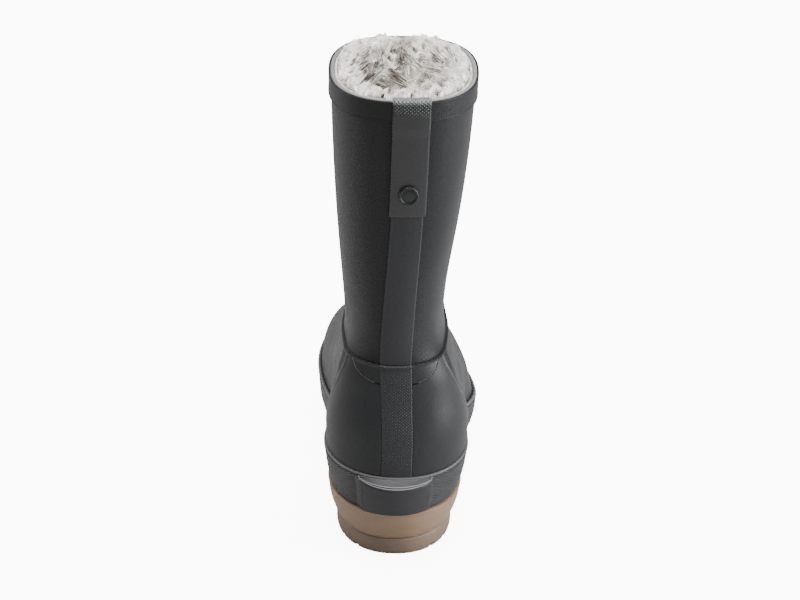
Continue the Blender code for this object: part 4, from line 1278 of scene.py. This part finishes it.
def cross_lines_group():
    """Two sets of slanted lines on the surface's own measures: fabric-like ribs or a diamond emboss."""
    group, given, put = new_group(
        "cross_lines", [("Pitch", 0.0016), ("Slant", 1.0), ("Second", 1.0)],
        [("Height", "NodeSocketFloat")])
    x, y = lay_parts(group)
    sloped = math_node(group, "MULTIPLY", x, given.outputs["Slant"])
    waves = []
    for mixed in (math_node(group, "ADD", y, sloped), math_node(group, "SUBTRACT", y, sloped)):
        turns = math_node(group, "DIVIDE", mixed, given.outputs["Pitch"])
        wave = math_node(group, "SINE", math_node(group, "MULTIPLY", turns, 2.0 * math.pi))
        waves.append(math_node(group, "ADD", math_node(group, "MULTIPLY", wave, 0.5), 0.5))
    second = math_node(group, "MULTIPLY", waves[1], given.outputs["Second"])
    both = math_node(group, "MULTIPLY", waves[0], waves[1])
    plain = math_node(group, "MULTIPLY", waves[0], math_node(group, "SUBTRACT", 1.0, given.outputs["Second"]))
    crossed = math_node(group, "MULTIPLY", both, given.outputs["Second"])
    total = math_node(group, "ADD", plain, crossed)
    group.links.new(total, put.inputs["Height"])
    group.nodes.remove(second.node)
    return group


def dust_group():
    """A pale film that gathers low on the boot and in broken patches."""
    group, given, put = new_group(
        "pale_dust", [("Amount", 0.5), ("Reach", 0.10)], [("Mask", "NodeSocketFloat")])
    place = object_place(group)
    parts = group.nodes.new("ShaderNodeSeparateXYZ")
    group.links.new(place, parts.inputs["Vector"])
    low = math_node(group, "SUBTRACT", 1.0, math_node(group, "DIVIDE", parts.outputs["Z"], given.outputs["Reach"]),
                    clamp=True)
    patch = smooth_range(group, noise_node(group, place, 34.0, 5.0, 0.6), 0.42, 0.72)
    speck = smooth_range(group, noise_node(group, place, 900.0, 2.0, 0.5), 0.58, 0.72)
    either = math_node(group, "ADD", math_node(group, "MULTIPLY", patch, 0.5), math_node(group, "MULTIPLY", speck, 0.25))
    base_level = math_node(group, "ADD", math_node(group, "MULTIPLY", low, 0.8), 0.2)
    total = math_node(group, "MULTIPLY", math_node(group, "MULTIPLY", either, base_level), given.outputs["Amount"],
                      clamp=True)
    group.links.new(total, put.inputs["Mask"])
    return group


def use_group(tree, group, **values):
    node = tree.nodes.new("ShaderNodeGroup")
    node.node_tree = group
    for label, value in values.items():
        node.inputs[label.replace("_", " ")].default_value = value
    return node


def new_finish(name, roughness, specular=0.5, coat=0.0, sheen=0.0):
    """A material with a Principled shader; constants sit on the shader's own sockets."""
    material = bpy.data.materials.new(name)
    material.use_nodes = True
    shader = material.node_tree.nodes["Principled BSDF"]
    shader.inputs["Roughness"].default_value = roughness
    shader.inputs["Specular IOR Level"].default_value = specular
    shader.inputs["Coat Weight"].default_value = coat
    shader.inputs["Coat Roughness"].default_value = 0.35
    shader.inputs["Sheen Weight"].default_value = sheen
    shader.inputs["Sheen Roughness"].default_value = 0.5
    return material, material.node_tree, shader


def bump_from(tree, shader, layers):
    """Bumps one after another into the shader's normal: (height socket, distance in metres)."""
    normal = None
    for height, distance in layers:
        bump = tree.nodes.new("ShaderNodeBump")
        bump.inputs["Strength"].default_value = 1.0
        bump.inputs["Distance"].default_value = distance
        tree.links.new(height, bump.inputs["Height"])
        if normal is not None:
            tree.links.new(normal, bump.inputs["Normal"])
        normal = bump.outputs["Normal"]
    tree.links.new(normal, shader.inputs["Normal"])


DARK = (0.0125, 0.0128, 0.0140)
DARK_WARM = (0.0165, 0.0163, 0.0175)
# Grey of the pale dust, also used for the painted highlight on raised lines.
DUST_AND_SHEEN_GREY = (0.085, 0.084, 0.083)


def dark_rubber(name, roughness, specular=0.26, lines=(), mask=None, shine=0.0, grain=0.00005, tint=1.0, dust=0.2,
                edge=0.0, rim=False):
    """Charcoal rubber: mottled colour, dust, fine pebble and the lines that its piece carries; shine, edge and rim
    paint highlights on the raised lines, bead edges and top face.
    """
    material, tree, shader = new_finish(name, roughness, specular=specular)
    grain_node = use_group(tree, GROUPS["grain"])
    dust_node = use_group(tree, GROUPS["dust"], Amount=dust)
    first = tuple(c * tint for c in DARK)
    second = tuple(c * tint for c in DARK_WARM)
    colour = mix_colour(tree, grain_node.outputs["Mottle"], first, second)
    colour = mix_colour(tree, dust_node.outputs["Mask"], colour, DUST_AND_SHEEN_GREY)
    rough = math_node(tree, "ADD", math_node(tree, "MULTIPLY", grain_node.outputs["Mottle"], 0.16), roughness - 0.08)
    rough = math_node(tree, "ADD", rough, math_node(tree, "MULTIPLY", dust_node.outputs["Mask"], 0.25))
    layers = [(grain_node.outputs["Height"], grain)]
    shown = mask(tree) if mask else None
    for pitch, slant, second_set, depth in lines:
        node = use_group(tree, GROUPS["lines"], Pitch=pitch, Slant=slant, Second=second_set)
        height = node.outputs["Height"]
        if shown is not None:
            height = math_node(tree, "MULTIPLY", height, shown)
        layers.append((height, depth))
        # shine paints the raised parts of the lines paler as a painted highlight, in the same grey as the dust.
        if shine:
            colour = mix_colour(tree, math_node(tree, "MULTIPLY", height, shine), colour, DUST_AND_SHEEN_GREY)
    # Painted highlight along the raised beads of the overlays' edges, read from the edge attribute.
    if edge:
        ridge = tree.nodes.new("ShaderNodeAttribute")
        ridge.attribute_name = "edge"
        colour = mix_colour(tree, math_node(tree, "MULTIPLY", ridge.outputs["Fac"], edge), colour, EDGE_HIGHLIGHT_GREY)
    # Painted highlight: the collar's top face is painted light grey where the overhead light would catch it.
    if rim:
        parts = tree.nodes.new("ShaderNodeSeparateXYZ")
        tree.links.new(object_place(tree), parts.inputs["Vector"])
        top = smooth_range(tree, parts.outputs["Z"], BOOT_HEIGHT - 0.0003, BOOT_HEIGHT + 0.0003)
        colour = mix_colour(tree, top, colour, RIM_HIGHLIGHT_GREY)
    tree.links.new(colour, shader.inputs["Base Color"])
    tree.links.new(rough, shader.inputs["Roughness"])
    bump_from(tree, shader, layers)
    return material, tree, shader, colour


EDGE_HIGHLIGHT_GREY = (0.150, 0.150, 0.155)
RIM_HIGHLIGHT_GREY = (0.240, 0.240, 0.240)


def inside_band(tree, value, low, high, soft):
    """1 between two values, fading over a soft width at both ends."""
    rise = smooth_range(tree, value, low, low + soft)
    fall = math_node(tree, "SUBTRACT", 1.0, smooth_range(tree, value, high - soft, high))
    return math_node(tree, "MULTIPLY", rise, fall)


def shaft_material():
    def mask(tree):
        parts = tree.nodes.new("ShaderNodeSeparateXYZ")
        tree.links.new(object_place(tree), parts.inputs["Vector"])
        right = smooth_range(tree, parts.outputs["X"], -0.012, 0.030)
        return math_node(tree, "SUBTRACT", 1.0, math_node(tree, "MULTIPLY", right, 0.75))
    # rim=True paints a light-grey highlight on the shaft's top face.
    return dark_rubber("shaft_rubber", 0.44, lines=((0.00150, 1.0, 0.6, 0.00020),), mask=mask, shine=0.12,
                       rim=True)[0]


def strap_material():
    def mask(tree):
        _, y = lay_parts(tree)
        low = inside_band(tree, y, 0.003, STRAP_PATTERN_TOP, 0.0030)
        return math_node(tree, "ADD", math_node(tree, "MULTIPLY", low, 0.90), 0.10)
    # edge paints a highlight on the strap's edge lines; shine paints a highlight on the raised pattern.
    return dark_rubber("strap_rubber", 0.48, specular=0.34, lines=((0.00200, 0.9, 1.0, 0.00028),), mask=mask,
                       shine=0.32, tint=2.0, edge=0.25)[0]


def tab_material():
    def mask(tree):
        _, y = lay_parts(tree)
        return math_node(tree, "ADD", math_node(tree, "MULTIPLY", smooth_range(tree, y, 0.068, 0.077), 0.88), 0.12)
    material, tree, shader, colour = dark_rubber(
        "tab_rubber", 0.34, specular=0.65, lines=((0.00230, 1.0, 1.0, 0.00070),), mask=mask, shine=0.40, dust=0.1)
    _, y = lay_parts(tree)
    # Painted highlight: the tab's crest over the rim is painted pale where the overhead light would glint on the bend.
    crest_highlight = math_node(tree, "MULTIPLY", inside_band(tree, y, 0.0785, 0.0900, 0.0030), 0.70)
    tree.links.new(mix_colour(tree, crest_highlight, colour, TAB_CREST_HIGHLIGHT), shader.inputs["Base Color"])
    return material


TAB_CREST_HIGHLIGHT = (0.240, 0.240, 0.250)


def band_material():
    """The cuff: a faint weave, and a painted highlight along its lower edge."""
    material, tree, shader, colour = dark_rubber(
        "band_rubber", 0.46, lines=((0.0016, 1.0, 0.6, 0.00012),), shine=0.10, dust=0.1)
    _, y = lay_parts(tree)
    # Painted highlight: a pale line along the cuff's rolled lower edge.
    line = math_node(tree, "MULTIPLY", inside_band(tree, y, 0.0002, 0.0018, 0.0006), 0.75)
    tree.links.new(mix_colour(tree, line, colour, EDGE_HIGHLIGHT_GREY), shader.inputs["Base Color"])
    return material


def bead_mask(tree):
    """1 on the foxing's top bead, where a highlight is painted."""
    node = tree.nodes.new("ShaderNodeAttribute")
    node.attribute_name = "ledge"
    return math_node(tree, "MULTIPLY", node.outputs["Fac"], -1.0, clamp=True)


def foxing_material():
    """Ribbed sides, a smoother heel piece, and a hatched ledge painted pale, partly its own colour and partly painted
    highlight, with painted highlight lines and a painted shade line along it.
    """
    def mask(tree):
        x, _ = lay_parts(tree)
        ribs = smooth_range(tree, x, HEEL_PIECE_HALF, HEEL_PIECE_HALF + 0.0025)
        return math_node(tree, "MULTIPLY", ribs, math_node(tree, "SUBTRACT", 1.0, bead_mask(tree)))
    material, tree, shader, colour = dark_rubber(
        "foxing_rubber", 0.46, specular=0.34, lines=((0.00135, 0.34, 0.0, 0.00045),), mask=mask, shine=0.40, tint=2.3, dust=0.4)
    # Painted highlight on the foxing's top bead.
    colour = mix_colour(tree, math_node(tree, "MULTIPLY", bead_mask(tree), 0.8), colour, EDGE_HIGHLIGHT_GREY)
    ledge = tree.nodes.new("ShaderNodeAttribute")
    ledge.attribute_name = "ledge"
    climb = ledge.outputs["Fac"]
    on = smooth_range(tree, climb, 0.10, 0.20)
    hatch = use_group(tree, GROUPS["lines"], Pitch=0.0015, Slant=1.0, Second=0.0)
    # The ledge's upward face is painted pale: partly its own hatched pattern, partly painted highlight.
    top = mix_colour(tree, hatch.outputs["Height"], (0.036, 0.036, 0.039), (0.078, 0.078, 0.082))
    # Painted highlight lines along the ledge.
    ledge_highlight_lines = math_node(tree, "ADD", inside_band(tree, climb, 0.22, 0.34, 0.03), inside_band(tree, climb, 0.40, 0.50, 0.03))
    ledge_highlight_lines = math_node(tree, "ADD", ledge_highlight_lines, inside_band(tree, climb, 0.90, 1.02, 0.03), clamp=True)
    top = mix_colour(tree, ledge_highlight_lines, top, (0.26, 0.26, 0.27))
    # Painted shade: a dark line between the highlight lines.
    top = mix_colour(tree, inside_band(tree, climb, 0.33, 0.41, 0.02), top, (0.020, 0.020, 0.022))
    colour = mix_colour(tree, on, colour, top)
    tree.links.new(colour, shader.inputs["Base Color"])
    return material


def gum_material(name, first, second, deep, roughness, dust):
    """Translucent-looking gum: mottled tan, a fine pebble and faint level drag lines."""
    material, tree, shader = new_finish(name, roughness, specular=0.40, coat=0.06)
    shader.inputs["Subsurface Weight"].default_value = 0.18
    shader.inputs["Subsurface Radius"].default_value = (0.006, 0.003, 0.0015)
    shader.inputs["Subsurface Scale"].default_value = 0.5
    grain_node = use_group(tree, GROUPS["grain"], Pebble_Scale=1500.0, Mottle_Scale=40.0)
    dust_node = use_group(tree, GROUPS["dust"], Amount=dust, Reach=0.04)
    colour = mix_colour(tree, grain_node.outputs["Mottle"], first, second)
    place = object_place(tree)
    parts = tree.nodes.new("ShaderNodeSeparateXYZ")
    tree.links.new(place, parts.inputs["Vector"])
    stretch = tree.nodes.new("ShaderNodeCombineXYZ")
    for label, factor in (("X", 18.0), ("Y", 18.0), ("Z", 420.0)):
        tree.links.new(math_node(tree, "MULTIPLY", parts.outputs[label], factor), stretch.inputs[label])
    drag = noise_node(tree, stretch.outputs["Vector"], 1.0, 3.0, 0.5)
    colour = mix_colour(tree, math_node(tree, "MULTIPLY", smooth_range(tree, drag, 0.5, 0.8), 0.35), colour, deep)
    colour = mix_colour(tree, dust_node.outputs["Mask"], colour, (0.34, 0.29, 0.23))
    tree.links.new(colour, shader.inputs["Base Color"])
    rough = math_node(tree, "ADD", math_node(tree, "MULTIPLY", grain_node.outputs["Mottle"], 0.2), roughness - 0.1)
    tree.links.new(rough, shader.inputs["Roughness"])
    bump_from(tree, shader, [(grain_node.outputs["Height"], 0.00006), (drag, 0.00004)])
    return material


def fur_material():
    """Pile: brown-grey at the root, darkened further there as painted shade between the tufts, off-white along the
    strand, darker tips on some tufts, a painted shadow round each tuft's edge and painted shade deep in the collar; a
    glow stands in for light scattered through the pile.
    """
    material, tree, shader = new_finish("fur_pile", 0.85, specular=0.2, sheen=0.25)
    shader.inputs["Subsurface Weight"].default_value = 0.0

    def attribute(name):
        node = tree.nodes.new("ShaderNodeAttribute")
        node.attribute_name = name
        return node.outputs["Fac"]

    tip, tone, depth, off_tuft_middle = (attribute(name) for name in ("tip", "tone", "depth", "off_tuft_middle"))
    # Brown-grey roots, darkened further as painted shade between the tufts.
    colour = mix_colour(tree, smooth_range(tree, tip, 0.02, 0.42), (0.120, 0.095, 0.070), (0.95, 0.935, 0.900))
    dark_tip = math_node(tree, "MULTIPLY", smooth_range(tree, tip, 0.55, 0.85), smooth_range(tree, tone, 0.48, 0.60))
    # Painted shadow: strands at the edge of each tuft are darkened as the shade between tufts.
    tuft_outline_shade = math_node(tree, "MULTIPLY", smooth_range(tree, off_tuft_middle, 0.72, 0.86), smooth_range(tree, tip, 0.10, 0.35))
    dark = math_node(tree, "ADD", dark_tip, math_node(tree, "MULTIPLY", tuft_outline_shade, 0.85), clamp=True)
    # The dark tips and the painted tuft shadows fade at the rim's top.
    rim_white = math_node(tree, "SUBTRACT", 1.0, math_node(tree, "MULTIPLY", smooth_range(tree, depth, 0.88, 1.0), 0.60))
    colour = mix_colour(tree, math_node(tree, "MULTIPLY", dark, rim_white), colour, (0.050, 0.037, 0.027))
    grey = math_node(tree, "MULTIPLY", smooth_range(tree, tone, 0.45, 0.0), 0.45)
    colour = mix_colour(tree, grey, colour, (0.62, 0.58, 0.52))
    # Painted shade: fur lower in the collar is darkened where less light reaches.
    deep_painted_shade = smooth_range(tree, depth, 0.75, 0.0)
    colour = mix_colour(tree, math_node(tree, "MULTIPLY", deep_painted_shade, 0.25), colour, (0.55, 0.49, 0.42))
    tree.links.new(colour, shader.inputs["Base Color"])
    # Painted light: the pile glows in its own colour, standing in for light scattered through it.
    tree.links.new(colour, shader.inputs["Emission Color"])
    shader.inputs["Emission Strength"].default_value = FUR_GLOW_STRENGTH
    fine = noise_node(tree, object_place(tree), 1500.0, 2.0, 0.5)
    rough = math_node(tree, "ADD", math_node(tree, "MULTIPLY", fine, 0.2), 0.72)
    tree.links.new(rough, shader.inputs["Roughness"])
    return material


# Strength of the fur's glow, which stands in for scattered light.
FUR_GLOW_STRENGTH = 0.95


def lining_material():
    material, tree, shader = new_finish("lining_knit", 0.95, specular=0.1, sheen=0.4)
    place = object_place(tree)
    mottle = noise_node(tree, place, 210.0, 4.0, 0.65)
    colour = mix_colour(tree, smooth_range(tree, mottle, 0.35, 0.68), (0.46, 0.42, 0.37), (0.88, 0.86, 0.81))
    tree.links.new(colour, shader.inputs["Base Color"])
    bump_from(tree, shader, [(mottle, 0.0012), (noise_node(tree, place, 900.0, 3.0, 0.6), 0.0004)])
    return material


def felt_material():
    material, tree, shader = new_finish("footbed_felt", 0.95, specular=0.1, sheen=0.3)
    place = object_place(tree)
    fibre = noise_node(tree, place, 700.0, 5.0, 0.7)
    colour = mix_colour(tree, smooth_range(tree, fibre, 0.3, 0.7), (0.30, 0.275, 0.245), (0.48, 0.45, 0.40))
    tree.links.new(colour, shader.inputs["Base Color"])
    bump_from(tree, shader, [(fibre, 0.0003)])
    return material


GROUPS = {"grain": rubber_grain_group(), "lines": cross_lines_group(), "dust": dust_group()}


def make_camera():
    """The photo's view: from behind, above and a long way off."""
    high, yaw, roll = (math.radians(a) for a in (CAMERA_ELEVATION, CAMERA_YAW, CAMERA_ROLL))
    forward = Vector((math.sin(yaw) * math.cos(high), math.cos(yaw) * math.cos(high), -math.sin(high)))
    level_right = Vector((math.cos(yaw), -math.sin(yaw), 0.0))
    level_up = level_right.cross(forward)
    right = level_right * math.cos(roll) + level_up * math.sin(roll)
    up = level_up * math.cos(roll) - level_right * math.sin(roll)
    aim = Vector(CAMERA_AIM) + Vector(SHIFT)
    data = bpy.data.cameras.new("photo_camera")
    data.sensor_width = SENSOR_WIDTH
    data.lens = SENSOR_WIDTH * PICTURE_WIDTHS
    camera = bpy.data.objects.new("photo_camera", data)
    camera.matrix_world = Matrix.Translation(aim - forward * CAMERA_DISTANCE) @ Matrix((right, up, -forward)).transposed().to_4x4()
    bpy.context.scene.collection.objects.link(camera)
    bpy.context.scene.camera = camera


def make_floor():
    """A plain floor: grey to what stands on it, and pale to the camera."""
    bpy.ops.mesh.primitive_plane_add(size=16.0, location=(0.0, 0.0, -0.0005))
    floor = bpy.context.object
    floor.name = "studio_floor"
    material, tree, shader = new_finish("studio_white", 0.9, specular=0.0)
    cloudy = noise_node(tree, object_place(tree), 0.4, 1.0, 0.5)
    tree.links.new(mix_colour(tree, cloudy, FLOOR_GREY, FLOOR_GREY_FAR), shader.inputs["Base Color"])
    pale = tree.nodes.new("ShaderNodeBsdfPrincipled")
    pale.inputs["Roughness"].default_value = 0.9
    pale.inputs["Specular IOR Level"].default_value = 0.0
    pale.inputs["Base Color"].default_value = (0.94, 0.94, 0.94, 1.0)
    pale.inputs["Emission Color"].default_value = (1.0, 1.0, 1.0, 1.0)
    pale.inputs["Emission Strength"].default_value = FLOOR_GLOW
    seen = tree.nodes.new("ShaderNodeLightPath")
    mixed = tree.nodes.new("ShaderNodeMixShader")
    tree.links.new(seen.outputs["Is Camera Ray"], mixed.inputs["Fac"])
    tree.links.new(shader.outputs["BSDF"], mixed.inputs[1])
    tree.links.new(pale.outputs["BSDF"], mixed.inputs[2])
    tree.links.new(mixed.outputs["Shader"], tree.nodes["Material Output"].inputs["Surface"])
    floor.data.materials.append(material)


FLOOR_GREY = (0.42, 0.42, 0.42)
FLOOR_GREY_FAR = (0.44, 0.44, 0.44)
FLOOR_GLOW = 9.0
STRAP_PATTERN_TOP = 0.0745


LIGHTS = [
    # name, place, aim height, size, power, colour
    ("overhead", (0.0, 0.15, 2.60), 0.10, (1.6, 1.6), 115.0, (1.0, 1.0, 1.0)),
    ("right_soft", (1.50, -0.30, 0.55), 0.12, (0.8, 1.4), 41.0, (0.95, 0.975, 1.0)),
    ("left_edge", (-1.35, 0.60, 0.70), 0.15, (0.5, 1.4), 9.0, (1.0, 1.0, 1.0)),
]


def make_lights():
    for name, place, aim_height, size, power, colour in LIGHTS:
        data = bpy.data.lights.new(name, "AREA")
        data.shape = "RECTANGLE"
        data.size, data.size_y = size
        data.energy = power
        data.color = colour
        lamp = bpy.data.objects.new(name, data)
        lamp.location = place
        away = Vector(place) - Vector((0.0, 0.0, aim_height))
        lamp.rotation_euler = away.to_track_quat("Z", "Y").to_euler()
        bpy.context.scene.collection.objects.link(lamp)
    world = bpy.data.worlds.new("studio")
    world.use_nodes = True
    world.node_tree.nodes["Background"].inputs["Color"].default_value = (1.0, 1.0, 1.0, 1.0)
    world.node_tree.nodes["Background"].inputs["Strength"].default_value = WORLD_STRENGTH
    bpy.context.scene.world = world


WORLD_STRENGTH = 0.35


def make_boot():
    shaft = shaft_material()
    # The overlays' bead edges get a painted highlight (edge=0.55).
    plain = dark_rubber("overlay_rubber", 0.44, specular=0.34, tint=1.4, edge=0.55)[0]
    band = band_material()
    settle(make_upper(), shaft, "dark_rubber", "upper")
    settle(make_foxing(), foxing_material(), "dark_rubber", "foxing")
    gum = gum_material("gum_midsole", (0.295, 0.190, 0.118), (0.365, 0.248, 0.162), (0.225, 0.145, 0.090), 0.42, 0.15)
    settle(make_midsole(), gum, "gum_rubber", "midsole")
    tread = gum_material("gum_tread", (0.215, 0.148, 0.104), (0.265, 0.186, 0.134), (0.160, 0.110, 0.078), 0.52, 0.4)
    settle(make_outsole(), tread, "tread_rubber", "outsole")
    for side, word in ((-1.0, "inner"), (1.0, "outer")):
        settle(make_heel_counter(side), plain, "dark_rubber", "heel_counter_" + word)
        settle(make_ankle_patch(side), plain, "dark_rubber", "ankle_patch_" + word)
    settle(make_back_strap(), strap_material(), "dark_rubber", "back_strap")
    settle(make_collar_band(), band, "dark_rubber", "collar_band")
    settle(make_pull_tab(), tab_material(), "dark_rubber", "pull_tab")
    settle(make_button(), dark_rubber("button_rubber", 0.36, specular=0.4, tint=1.3, dust=0.05)[0], "dark_rubber", "button")
    settle(make_insole(), felt_material(), "footbed_felt", "insole")
    settle(make_lining(), lining_material(), "pale_fur", "fur_lining")
    dice = np.random.default_rng(FUR_SEED)
    tufts = make_tufts(dice)
    pile = fur_material()
    for part in range(FUR_PIECES):
        settle(make_fur(part, dice, tufts), pile, "pale_fur")


make_camera()
make_floor()
make_lights()
make_boot()
bpy.context.view_layer.update()
